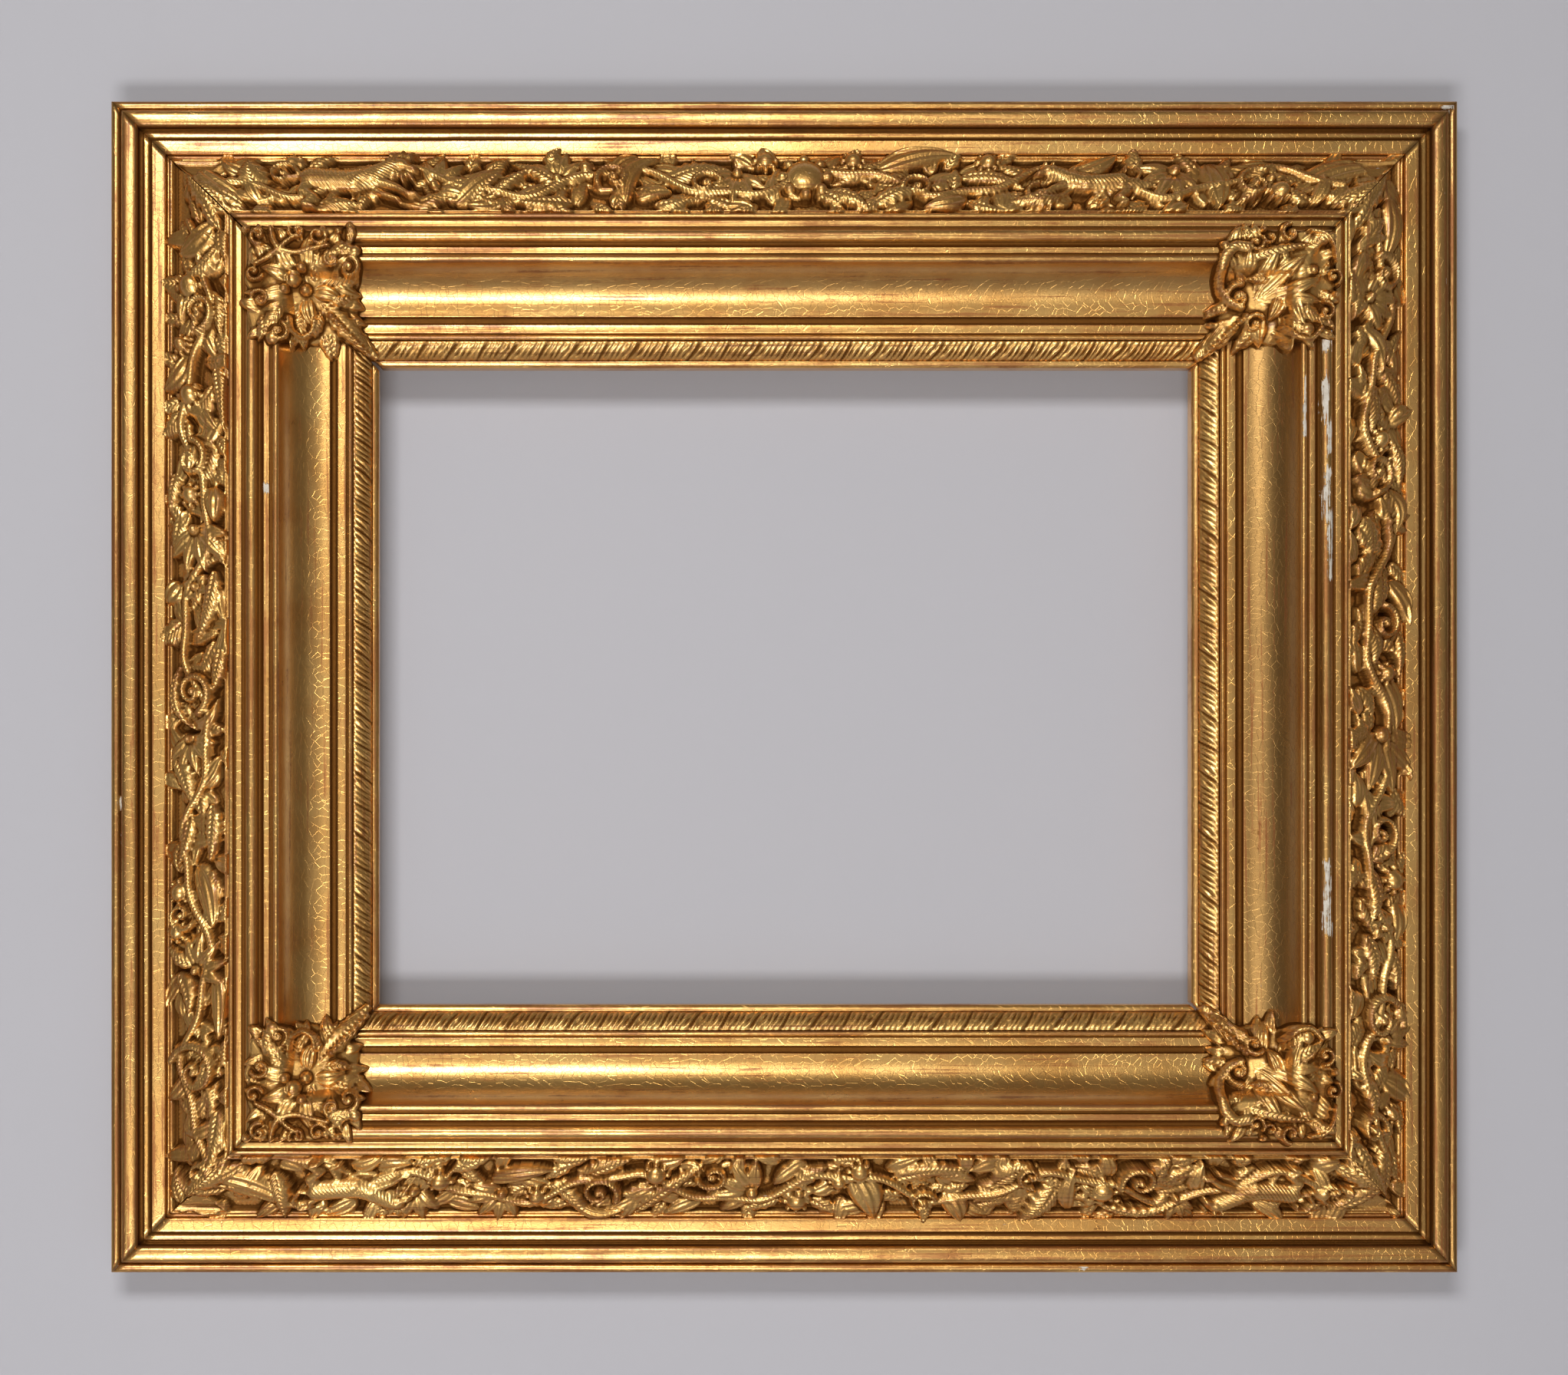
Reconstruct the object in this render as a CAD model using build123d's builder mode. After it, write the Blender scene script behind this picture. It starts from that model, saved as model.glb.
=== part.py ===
from build123d import *
import os
from math import cos, hypot, radians, sin

# A carved and gilded picture frame that hangs on a wall, landscape format.
# +Z is up and the front faces -Y. The origin is the frame's centre on the wall plane.
# Lengths are millimetres. Sections are drawn inward from the outer edge and forward.

os.makedirs("parts", exist_ok=True)

# Opening, rebate and the gap that the hangers need behind the frame
sight_width = 402.0
sight_height = 315.0
rebate_lip = 8.0
rebate_depth = 16.0
wall_gap = 4.5

# Widths across one rail, from the outer edge inward
outer_moulding_width = 30.0
frieze_width = 31.2
inner_moulding_width = 72.2
rail_width = outer_moulding_width + frieze_width + inner_moulding_width
rebate_line = rail_width - rebate_lip
outer_width = sight_width + 2 * rail_width
outer_height = sight_height + 2 * rail_width

# Joints between pieces
glue_line = 0.15
key_clearance = 0.1
screw_clearance = 0.06
swing_clearance = 0.15

# The mouldings are planted on the front face of the back rails
planting_height = wall_gap + rebate_depth

side_length = {"top": outer_width, "bottom": outer_width, "left": outer_height, "right": outer_height}
corner_signs = {
    "top_left": (-1, 1),
    "top_right": (1, 1),
    "bottom_left": (-1, -1),
    "bottom_right": (1, -1),
}


def section_plane(side):
    """Section plane at a rail's middle: X inward from the outer edge, Y forward from the wall."""
    outward = {"top": (0, 0, 1), "bottom": (0, 0, -1), "left": (-1, 0, 0), "right": (1, 0, 0)}[side]
    outward = Vector(*outward)
    reach = outer_height / 2 if outward.Z else outer_width / 2
    inward = outward * -1
    return Plane(origin=outward * reach, x_dir=inward, z_dir=inward.cross(Vector(0, -1, 0)))


def mitre_plane(side, end):
    """Plane of the 45 degree cut at one end of a rail, facing the wood that stays."""
    section = section_plane(side)
    corner = section.origin + section.z_dir * (end * side_length[side] / 2)
    return Plane(origin=corner, z_dir=section.z_dir * -end - section.x_dir)


def back_plane(side):
    """Plane of a rail's back face: X along the rail, Y outward from its outer edge."""
    section = section_plane(side)
    origin = section.origin + section.y_dir * wall_gap
    return Plane(origin=origin, x_dir=section.x_dir.cross(section.y_dir), z_dir=section.y_dir * -1)


def draw_outline(points):
    """Close a section. A point is inward, forward and the bulge of the arc that leads to it."""
    for start, end in zip(points, points[1:] + points[:1]):
        first, last = Vector(start[0], start[1]), Vector(end[0], end[1])
        if end[2]:
            chord = last - first
            crown = (first + last) / 2 + Vector(-chord.Y, chord.X) * (end[2] / chord.length)
            ThreePointArc(first, crown, last)
        else:
            Line(first, last)


def mitred_rail(side, points):
    """Run a section along one side of the frame and mitre both ends."""
    with BuildPart() as rail:
        with BuildSketch(section_plane(side)):
            with BuildLine():
                draw_outline(points)
            make_face()
        extrude(amount=side_length[side] / 2, both=True)
        for end in (-1, 1):
            split(bisect_by=mitre_plane(side, end), keep=Keep.TOP)
    return rail


# Outer moulding, from the outer edge: bead, quirk, torus, hollow, fillet, step, band, small bead
edge_wall = 3.6
edge_bead_width = 4.8
edge_bead_rise = 2.1
quirk_width = 0.6
torus_foot = 7.0
torus_width = 8.2
torus_rise = 3.6
torus_heel = 6.2
hollow_floor = 5.0
hollow_width = 3.2
hollow_sink = 0.9
outer_fillet_height = 7.8
outer_fillet_width = 2.3
step_width = 2.0
step_sink = 0.8
band_height = 11.0
bead_groove_width = 0.5
channel_bead_foot = 8.4
channel_bead_width = 1.9
channel_bead_rise = 0.9

torus_start = edge_bead_width + quirk_width
torus_end = torus_start + torus_width
hollow_end = torus_end + hollow_width
outer_fillet_end = hollow_end + outer_fillet_width
band_start = outer_fillet_end + step_width
channel_bead_start = outer_moulding_width - channel_bead_width
band_end = channel_bead_start - bead_groove_width

outer_moulding_section = [
    (0, planting_height, 0),
    (0, planting_height + edge_wall, 0),
    (edge_bead_width, planting_height + edge_wall, edge_bead_rise),
    (torus_start, planting_height + edge_wall, 0),
    (torus_start, planting_height + torus_foot, 0),
    (torus_end, planting_height + torus_heel, torus_rise),
    (torus_end, planting_height + hollow_floor, 0),
    (hollow_end, planting_height + hollow_floor, -hollow_sink),
    (hollow_end, planting_height + outer_fillet_height, 0),
    (outer_fillet_end, planting_height + outer_fillet_height, 0),
    (band_start, planting_height + band_height, -step_sink),
    (band_end, planting_height + band_height, 0),
    (channel_bead_start, planting_height + channel_bead_foot, 0),
    (outer_moulding_width, planting_height + channel_bead_foot, channel_bead_rise),
    (outer_moulding_width, planting_height, 0),
]

# Inner moulding, from the frieze: bead, quirk, fillet, astragal, hollow, listel, rim bead, cove,
# small hollow, sight fillet, small bead, bed of the ribbon ornament, sight lip
frieze_bead_foot = 31.4
frieze_bead_width = 2.4
frieze_bead_rise = 1.1
frieze_quirk_height = 30.4
frieze_quirk_width = 1.0
inner_fillet_height = 31.6
inner_fillet_width = 3.0
inner_groove_height = 30.8
inner_groove_width = 1.6
astragal_foot = 32.6
astragal_width = 6.6
astragal_rise = 3.0
scotia_foot = 33.2
scotia_width = 2.8
scotia_head = 35.6
scotia_sink = 0.8
listel_height = 36.4
listel_width = 3.0
listel_groove_height = 35.6
listel_groove_width = 1.6
rim_foot = 38.4
rim_width = 3.2
rim_rise = 1.6
cove_head = 37.8
cove_foot = 20.6
cove_sink = 5.2
sight_hollow_height = 18.2
sight_hollow_width = 3.5
sight_hollow_sink = 0.7
sight_fillet_height = 18.8
sight_fillet_width = 4.2
sight_groove_height = 17.3
sight_groove_width = 0.7
sight_bead_width = 2.2
sight_bead_rise = 0.8
bed_head = 15.6
bed_foot = 9.6
bed_width = 9.7
sight_lip_width = 3.1
sight_lip_height = 11.3
sight_edge_height = 10.0
lip_round = 0.4
seat_sink = 0.5

frieze_end = outer_moulding_width + frieze_width
frieze_bead_end = frieze_end + frieze_bead_width
inner_fillet_start = frieze_bead_end + frieze_quirk_width
inner_fillet_end = inner_fillet_start + inner_fillet_width
astragal_start = inner_fillet_end + inner_groove_width
astragal_end = astragal_start + astragal_width
listel_start = astragal_end + scotia_width
listel_end = listel_start + listel_width
rim_start = listel_end + listel_groove_width
cove_start = rim_start + rim_width
lip_start = rail_width - sight_lip_width
bed_start = lip_start - bed_width
sight_bead_start = bed_start - sight_bead_width
sight_fillet_end = sight_bead_start - sight_groove_width
sight_fillet_start = sight_fillet_end - sight_fillet_width
cove_end = sight_fillet_start - sight_hollow_width

inner_moulding_section = [
    (frieze_end, planting_height, 0),
    (frieze_end, planting_height + frieze_bead_foot, 0),
    (frieze_bead_end, planting_height + frieze_bead_foot, frieze_bead_rise),
    (frieze_bead_end, planting_height + frieze_quirk_height, 0),
    (inner_fillet_start, planting_height + frieze_quirk_height, 0),
    (inner_fillet_start, planting_height + inner_fillet_height, 0),
    (inner_fillet_end, planting_height + inner_fillet_height, 0),
    (inner_fillet_end, planting_height + inner_groove_height, 0),
    (astragal_start, planting_height + inner_groove_height, 0),
    (astragal_start, planting_height + astragal_foot, 0),
    (astragal_end, planting_height + scotia_foot, astragal_rise),
    (listel_start, planting_height + scotia_head, -scotia_sink),
    (listel_start, planting_height + listel_height, 0),
    (listel_end, planting_height + listel_height, 0),
    (listel_end, planting_height + listel_groove_height, 0),
    (rim_start, planting_height + listel_groove_height, 0),
    (rim_start, planting_height + rim_foot, 0),
    (cove_start, planting_height + rim_foot, rim_rise),
    (cove_start, planting_height + cove_head, 0),
    (cove_end, planting_height + cove_foot, -cove_sink),
    (cove_end, planting_height + sight_hollow_height, 0),
    (sight_fillet_start, planting_height + sight_hollow_height, -sight_hollow_sink),
    (sight_fillet_start, planting_height + sight_fillet_height, 0),
    (sight_fillet_end, planting_height + sight_fillet_height, 0),
    (sight_fillet_end, planting_height + sight_groove_height, 0),
    (sight_bead_start, planting_height + sight_groove_height, 0),
    (bed_start, planting_height + sight_groove_height, sight_bead_rise),
    (bed_start, planting_height + bed_head, 0),
    (lip_start, planting_height + bed_foot, 0),
    (lip_start, planting_height + sight_lip_height, 0),
    (rail_width, planting_height + sight_edge_height, lip_round),
    (rail_width, planting_height + seat_sink, 0),
    (rebate_line, planting_height + seat_sink, 0),
    (rebate_line, planting_height, 0),
]

# Back rails, set back from the outer edge, with the rebate's wall on their inner edge
back_inset = 3.0
back_edge_chamfer = 2.0

back_rail_section = [
    (back_inset, wall_gap + back_edge_chamfer, 0),
    (back_inset, planting_height, 0),
    (rebate_line, planting_height, 0),
    (rebate_line, wall_gap, 0),
    (back_inset + back_edge_chamfer, wall_gap, 0),
]

# Butterfly keys across the mitres, on the line where the back rails are widest
key_length = 46.0
key_end_width = 20.0
key_waist = 11.0
key_depth = 7.0
key_line = (back_inset + rebate_line) / 2

# Turn buttons near the rebate, each on a pan-head pivot screw
button_length = 32.0
button_width = 10.0
button_thickness = 1.4
button_line = rebate_line - button_width
pivot_radius = 1.75
pivot_length = 13.0
pivot_head_radius = 3.7
pivot_head_height = 1.2

# Strap hangers and D-rings on the left and right rails
hanger_drop = 150.0
hanger_line = (back_inset + rebate_line) / 2
strap_width = 11.0
strap_length = 28.0
strap_thickness = 1.0
ring_wire = 2.0
ring_wire_flats = 6
ring_bow_steps = 6
ring_width = 20.0
ring_depth = 15.0
hanger_screw_radius = 1.6
hanger_screw_length = 12.0
hanger_screw_head_radius = 3.2
hanger_screw_head_height = 1.0
knuckle_bore = ring_wire / 2 + screw_clearance
knuckle_wall = 1.1
knuckle_radius = knuckle_bore + knuckle_wall
ring_corner_radius = 3.0
ring_half_width = (ring_width - ring_wire) / 2
ring_fall = ring_depth - ring_wire - ring_half_width


def key_outline(grow):
    """Half of a butterfly key's outline, grown all round for its pocket."""
    half_length, half_end, half_waist = key_length / 2 + grow, key_end_width / 2 + grow, key_waist / 2 + grow
    return [
        (0, half_waist),
        (half_length, half_end),
        (half_length, -half_end),
        (0, -half_waist),
        (-half_length, -half_end),
        (-half_length, half_end),
    ]


def key_plane(corner):
    """Plane of a key on the back face, its length square to the mitre."""
    x_sign, z_sign = corner_signs[corner]
    origin = (x_sign * (outer_width / 2 - key_line), -wall_gap, z_sign * (outer_height / 2 - key_line))
    return Plane(origin=origin, x_dir=(x_sign, 0, -z_sign), z_dir=(0, 1, 0))


def hanger_plane(side):
    """Plane at a strap hanger's knuckle on the back face, Y up."""
    x_sign = 1 if side == "right" else -1
    origin = (x_sign * (outer_width / 2 - hanger_line), -wall_gap, outer_height / 2 - hanger_drop)
    return Plane(origin=origin, x_dir=(-1, 0, 0), z_dir=(0, 1, 0))


hanger_screw_row = -(ring_depth + knuckle_radius + hanger_screw_head_radius)

for side in side_length:
    with BuildPart() as back_rail:
        add(mitred_rail(side, back_rail_section).part)
        for corner in corner_signs:
            if side in corner.split("_"):
                with BuildSketch(key_plane(corner)):
                    Polygon(*key_outline(key_clearance), align=None)
                extrude(amount=-(key_depth + key_clearance), mode=Mode.SUBTRACT)
        with BuildSketch(back_plane(side)):
            with Locations((0, -button_line)):
                Circle(pivot_radius + screw_clearance)
        extrude(amount=-pivot_length, mode=Mode.SUBTRACT)
        if side in ("left", "right"):
            with BuildSketch(hanger_plane(side)):
                with Locations((0, hanger_screw_row)):
                    Circle(hanger_screw_radius + screw_clearance)
            extrude(amount=-hanger_screw_length, mode=Mode.SUBTRACT)
    back_rail.part.label = f"back_rail_{side}"
    export_step(back_rail.part, f"parts/back_rail_{side}.step")

    with BuildPart() as outer_moulding:
        add(mitred_rail(side, outer_moulding_section).part)
    outer_moulding.part.label = f"outer_moulding_{side}"
    export_step(outer_moulding.part, f"parts/outer_moulding_{side}.step")

for side in side_length:
    with BuildPart() as inner_moulding:
        add(mitred_rail(side, inner_moulding_section).part)
    inner_moulding.part.label = f"inner_moulding_{side}"
    export_step(inner_moulding.part, f"parts/inner_moulding_{side}.step")


def slope_plane(side, outer_point, inner_point):
    """Plane on the middle of a sloping face: X clockwise along the rail, Y outward up or down it."""
    section = section_plane(side)
    inward, forward = outer_point[0] + inner_point[0], outer_point[1] + inner_point[1]
    middle = section.from_local_coords(Vector(inward / 2, forward / 2, 0))
    outward = section.x_dir * (outer_point[0] - inner_point[0])
    outward = outward + section.y_dir * (outer_point[1] - inner_point[1])
    along = section.z_dir * -1
    return Plane(origin=middle, x_dir=along, z_dir=along.cross(outward))


# Ribbon and stick: a strip in its bed, with a slanting wrap of ribbon at each repeat
ribbon_pitch = 15.0
ribbon_strip = 0.9
ribbon_height = 2.5
ribbon_wrap_length = 10.6
ribbon_slant = 4.6
ribbon_taper = 24.0
bed_slope = (bed_head - bed_foot) / bed_width
ribbon_width = hypot(bed_width, bed_head - bed_foot) - 2 * glue_line

ribbon_section = [
    (bed_start + glue_line, planting_height + bed_head - bed_slope * glue_line, 0),
    (bed_start + glue_line + ribbon_strip, planting_height + bed_head + ribbon_strip / 2, 0),
    (lip_start - glue_line, planting_height + bed_foot + ribbon_strip, 0),
    (lip_start - glue_line, planting_height + bed_foot + bed_slope * glue_line, 0),
]

for side in side_length:
    bed_outer = (bed_start, planting_height + bed_head)
    bed_inner = (lip_start, planting_height + bed_foot)
    repeats = int((side_length[side] - 2 * rail_width) / ribbon_pitch)
    with BuildPart() as sight_ribbon:
        add(mitred_rail(side, ribbon_section).part)
        with BuildSketch(slope_plane(side, bed_outer, bed_inner)):
            half_length, lean = ribbon_wrap_length / 2, ribbon_slant / 2
            half_width = ribbon_width / 2 - glue_line
            with GridLocations(ribbon_pitch, ribbon_pitch, repeats, 1):
                Polygon(
                    (-half_length - lean, -half_width),
                    (half_length - lean, -half_width),
                    (half_length + lean, half_width),
                    (lean - half_length, half_width),
                    align=None,
                )
        extrude(amount=ribbon_height, taper=ribbon_taper)
    sight_ribbon.part.label = f"sight_ribbon_{side}"
    export_step(sight_ribbon.part, f"parts/sight_ribbon_{side}.step")

# Carved frieze. Its ground slopes up from the outer moulding to the inner one, and the carving
# stands off that slope. Lengths in the tables are shares of the frieze's width, places along a
# rail are shares of the rail's length, clockwise from its middle, and places across are shares
# of the frieze's width, outward from its middle. Turns are degrees from the clockwise direction.
frieze_foot = 7.5
frieze_head = 26.0
leaf_root = 1.0
leaf_relief = 6.5
leaf_crown_share = 0.36
leaf_crown_start_share = 0.36
leaf_belly_share = 0.38
bud_relief = 8.0
bud_crown_share = 0.45
bud_flats = 6
fan_turns = (-42, 0, 42)
fan_length_shares = (0.8, 1.0, 0.8)
fan_width_share = 0.5

# A running animal, facing the clockwise way: trunk, neck, tail and four legs as tapering forms,
# with a round rump, chest and head. Shares of the animal's length, from its middle.
beast_limb_shares = [
    (-0.36, 0.02, 4, 0.62, 0.24, 0.02),
    (0.06, 0.06, 14, 0.36, 0.17, 0.02),
    (-0.28, 0.08, 158, 0.30, 0.07, -0.08),
    (-0.22, -0.02, 234, 0.24, 0.10, 0.03),
    (-0.16, -0.04, 262, 0.22, 0.08, -0.02),
    (0.12, -0.02, 318, 0.34, 0.09, 0.02),
    (0.06, -0.04, 286, 0.22, 0.08, 0.02),
]
beast_round_shares = [(-0.22, 0.03, 0.12), (0.08, 0.02, 0.11), (0.37, 0.10, 0.11)]

frieze_leaf_shares = {
    "top": [
        (-0.400, -0.30, 135, 1.00, 0.45, 0.10),
        (-0.348, -0.43, 5, 0.75, 0.30, 0.05),
        (-0.244, -0.35, 40, 1.00, 0.30, 0.08),
        (-0.162, -0.13, 148, 0.95, 0.28, -0.06),
        (-0.157, -0.30, 180, 0.90, 0.30, 0.05),
        (-0.119, -0.30, 55, 0.95, 0.35, 0.25),
        (-0.091, 0.03, 12, 1.05, 0.45, 0.08),
        (0.029, -0.13, -30, 0.70, 0.30, 0.05),
        (0.066, 0.26, 12, 1.25, 0.38, 0.10),
        (0.063, 0.00, 0, 1.20, 0.25, -0.12),
        (0.063, -0.35, 17, 0.75, 0.32, 0.05),
        (0.128, 0.15, -17, 0.95, 0.28, 0.10),
        (0.202, -0.15, 195, 0.80, 0.35, 0.06),
        (0.208, 0.15, 29, 0.87, 0.30, -0.08),
        (0.222, -0.15, 5, 1.00, 0.35, 0.06),
        (0.311, 0.40, -85, 0.90, 0.40, 0.06),
        (0.345, 0.10, 235, 0.60, 0.30, 0.06),
        (0.372, -0.13, 16, 1.55, 0.40, 0.22),
    ],
    "bottom": [
        (0.425, -0.13, 158, 1.50, 0.36, 0.16),
        (0.375, -0.23, 101, 0.84, 0.30, 0.05),
        (0.217, -0.10, 193, 0.95, 0.25, 0.06),
        (0.151, -0.10, 207, 0.82, 0.30, 0.08),
        (0.160, 0.13, 165, 0.90, 0.20, -0.20),
        (0.111, 0.44, 221, 1.30, 0.25, 0.05),
        (-0.049, -0.23, 111, 0.85, 0.45, 0.05),
        (-0.077, -0.10, 191, 1.10, 0.30, 0.10),
        (-0.151, 0.00, 215, 0.70, 0.40, 0.08),
        (-0.197, -0.05, 51, 0.87, 0.40, 0.06),
        (-0.208, 0.40, 267, 0.80, 0.25, 0.10),
        (-0.228, 0.28, 187, 1.35, 0.18, -0.22),
        (-0.400, 0.40, 228, 1.30, 0.30, -0.14),
    ],
    "left": [
        (0.387, -0.25, 125, 0.74, 0.40, 0.10),
        (0.370, -0.36, 125, 0.79, 0.25, 0.16),
        (0.276, 0.17, 140, 0.63, 0.35, 0.12),
        (0.270, -0.29, 190, 1.04, 0.25, 0.06),
        (0.202, -0.25, 163, 0.65, 0.30, 0.06),
        (0.097, -0.29, 165, 1.07, 0.30, 0.10),
        (0.018, 0.30, 199, 1.03, 0.20, -0.22),
        (-0.035, 0.11, -51, 0.68, 0.20, -0.16),
        (0.031, -0.38, 170, 0.68, 0.26, 0.05),
        (-0.058, 0.38, 206, 0.82, 0.35, 0.08),
        (-0.104, 0.11, 166, 0.88, 0.25, 0.08),
        (-0.100, -0.25, 180, 0.85, 0.30, 0.06),
        (-0.153, 0.00, 198, 0.97, 0.35, 0.08),
        (-0.242, 0.33, 198, 0.68, 0.30, 0.14),
        (-0.242, -0.30, 184, 0.98, 0.25, 0.06),
        (-0.281, 0.11, 180, 1.55, 0.22, -0.30),
        (-0.305, -0.25, 150, 0.78, 0.30, 0.12),
        (-0.357, 0.32, 212, 1.15, 0.22, -0.22),
        (-0.357, -0.32, 167, 0.80, 0.30, 0.08),
    ],
    "right": [
        (-0.413, 0.28, -10, 1.00, 0.35, 0.12),
        (-0.301, -0.20, 27, 0.75, 0.22, 0.10),
        (-0.254, -0.17, 6, 0.75, 0.35, 0.05),
        (-0.268, 0.14, 23, 0.80, 0.22, 0.06),
        (-0.209, 0.33, 8, 0.75, 0.25, 0.06),
        (-0.166, 0.17, 15, 0.70, 0.25, 0.18),
        (-0.100, 0.10, -18, 0.78, 0.35, 0.06),
        (-0.090, 0.25, 28, 0.80, 0.30, 0.08),
        (-0.008, 0.10, 17, 0.90, 0.40, 0.08),
        (0.087, -0.17, 2, 0.90, 0.30, 0.08),
        (0.153, -0.10, 0, 0.80, 0.30, 0.06),
        (0.209, -0.17, 7, 0.68, 0.30, 0.06),
        (0.219, 0.20, 11, 0.70, 0.25, 0.08),
        (0.249, 0.40, -7, 1.25, 0.18, -0.26),
        (0.331, 0.17, 56, 0.65, 0.40, 0.05),
        (0.385, 0.17, -17, 1.00, 0.30, 0.10),
    ],
}
frieze_fan_shares = {
    "top": [(-0.257, -0.06, 45, 0.62), (-0.168, 0.10, 80, 0.60),
            (-0.030, 0.10, -95, 0.62), (0.300, 0.10, 205, 0.75)],
    "bottom": [(0.262, 0.02, 58, 0.62), (0.208, 0.08, 49, 0.60),
               (0.026, 0.07, -29, 0.80), (-0.285, 0.22, 80, 0.40)],
    "left": [(0.130, 0.03, 198, 0.75), (-0.044, 0.11, 196, 0.57), (-0.239, 0.00, -44, 0.62)],
    "right": [(-0.324, -0.14, 90, 0.62), (-0.137, 0.20, 138, 0.55),
              (0.041, 0.08, 15, 1.05), (0.298, 0.18, 143, 0.62)],
}
frieze_bud_shares = {
    "top": [(-0.360, 0.33, 0.16), (-0.147, 0.25, 0.14), (0.014, 0.08, 0.42),
            (0.148, 0.36, 0.15), (0.359, -0.12, 0.20)],
    "bottom": [(0.252, -0.10, 0.19), (0.182, 0.14, 0.16), (0.095, -0.22, 0.20), (-0.007, 0.27, 0.16),
               (-0.038, -0.10, 0.14), (-0.052, -0.30, 0.17), (-0.230, 0.05, 0.24), (-0.391, 0.08, 0.17)],
    "left": [(0.335, 0.10, 0.28), (0.287, 0.24, 0.14), (0.244, 0.10, 0.24), (0.160, 0.09, 0.18),
             (-0.007, 0.03, 0.22), (-0.173, 0.28, 0.22), (-0.206, 0.30, 0.18)],
    "right": [(-0.206, 0.06, 0.18), (-0.010, 0.18, 0.16), (0.163, 0.30, 0.22), (0.359, 0.25, 0.14)],
}
frieze_beast_shares = {
    "top": [(-0.317, 0.02, 2.25, 1), (0.228, -0.05, 1.60, -1)],
    "bottom": [(0.319, 0.00, 1.90, -1), (-0.342, 0.06, 1.75, 1)],
    "left": [],
    "right": [],
}


def flat_sided(foot, crown):
    """Solid with flat faces between two outlines of the same shape, given as points in space."""
    faces = [Face(Wire.make_polygon(foot)), Face(Wire.make_polygon(crown))]
    for here, after in zip(range(len(foot)), [*range(1, len(foot)), 0]):
        faces.append(Face(Wire.make_polygon([foot[here], foot[after], crown[after], crown[here]])))
    return Solid(Shell(faces))


def leaf_form(plane, leaf, relief):
    """One pointed leaf, its crown smaller than its foot: x, y, turn, length, width, bend."""
    x, y, turn, length, width, bend = leaf
    heading = (cos(radians(turn)), sin(radians(turn)))
    side_heading = (-heading[1], heading[0])

    def place(reach, offset):
        return (
            x + heading[0] * reach + side_heading[0] * offset,
            y + heading[1] * reach + side_heading[1] * offset,
        )

    outlines = []
    for level, start_share, share in ((-leaf_root, 0, 1), (relief, leaf_crown_start_share, leaf_crown_share)):
        start, span, lean = length * start_share, length * share, bend * share
        belly, half_width = start + span * leaf_belly_share, width * share / 2
        corners = (
            place(start, 0),
            place(belly, lean + half_width),
            place(start + span, 0),
            place(belly, lean - half_width),
        )
        outlines.append([plane.from_local_coords(Vector(*corner, level)) for corner in corners])
    return flat_sided(*outlines)


def bud_form(plane, bud, relief):
    """One boss with a smaller crown than its foot: x, y, radius on the plane."""
    x, y, radius = bud
    outlines = []
    for level, size in ((-leaf_root, radius), (relief, radius * bud_crown_share)):
        angles = [radians(360 / bud_flats * flat) for flat in range(bud_flats)]
        corners = [Vector(x + size * cos(angle), y + size * sin(angle), level) for angle in angles]
        outlines.append([plane.from_local_coords(corner) for corner in corners])
    return flat_sided(*outlines)


def frieze_leaves(side, along_unit, across_unit):
    """All the leaves of one rail in millimetres: single leaves, fans and the animals' limbs."""
    leaves = []
    for along, across, turn, length, width, bend in frieze_leaf_shares[side]:
        leaves.append((along * along_unit, across * across_unit, turn,
                       length * frieze_width, width * frieze_width, bend * frieze_width))
    for along, across, turn, length in frieze_fan_shares[side]:
        for fan_turn, length_share in zip(fan_turns, fan_length_shares):
            reach = length * frieze_width * length_share
            leaves.append((along * along_unit, across * across_unit, turn + fan_turn,
                           reach, reach * fan_width_share, 0))
    for along, across, length, facing in frieze_beast_shares[side]:
        unit = length * frieze_width
        for x, y, turn, limb, width, bend in beast_limb_shares:
            limb_turn = turn if facing > 0 else 180 - turn
            leaves.append((along * along_unit + facing * x * unit, across * across_unit + y * unit,
                           limb_turn, limb * unit, width * unit, facing * bend * unit))
    return leaves


def frieze_buds(side, along_unit, across_unit):
    """All the round bosses of one rail in millimetres, with the animals' rounded parts."""
    buds = []
    for along, across, radius in frieze_bud_shares[side]:
        buds.append((along * along_unit, across * across_unit, radius * frieze_width))
    for along, across, length, facing in frieze_beast_shares[side]:
        unit = length * frieze_width
        for x, y, radius in beast_round_shares:
            place = along * along_unit + facing * x * unit
            buds.append((place, across * across_unit + y * unit, radius * unit))
    return buds


frieze_outer = (outer_moulding_width + glue_line, planting_height + frieze_foot)
frieze_inner = (frieze_end - glue_line, planting_height + frieze_head)
frieze_section = [
    (outer_moulding_width + glue_line, planting_height, 0),
    (*frieze_outer, 0),
    (*frieze_inner, 0),
    (frieze_end - glue_line, planting_height, 0),
]
frieze_slope_width = hypot(frieze_inner[0] - frieze_outer[0], frieze_head - frieze_foot)

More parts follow.
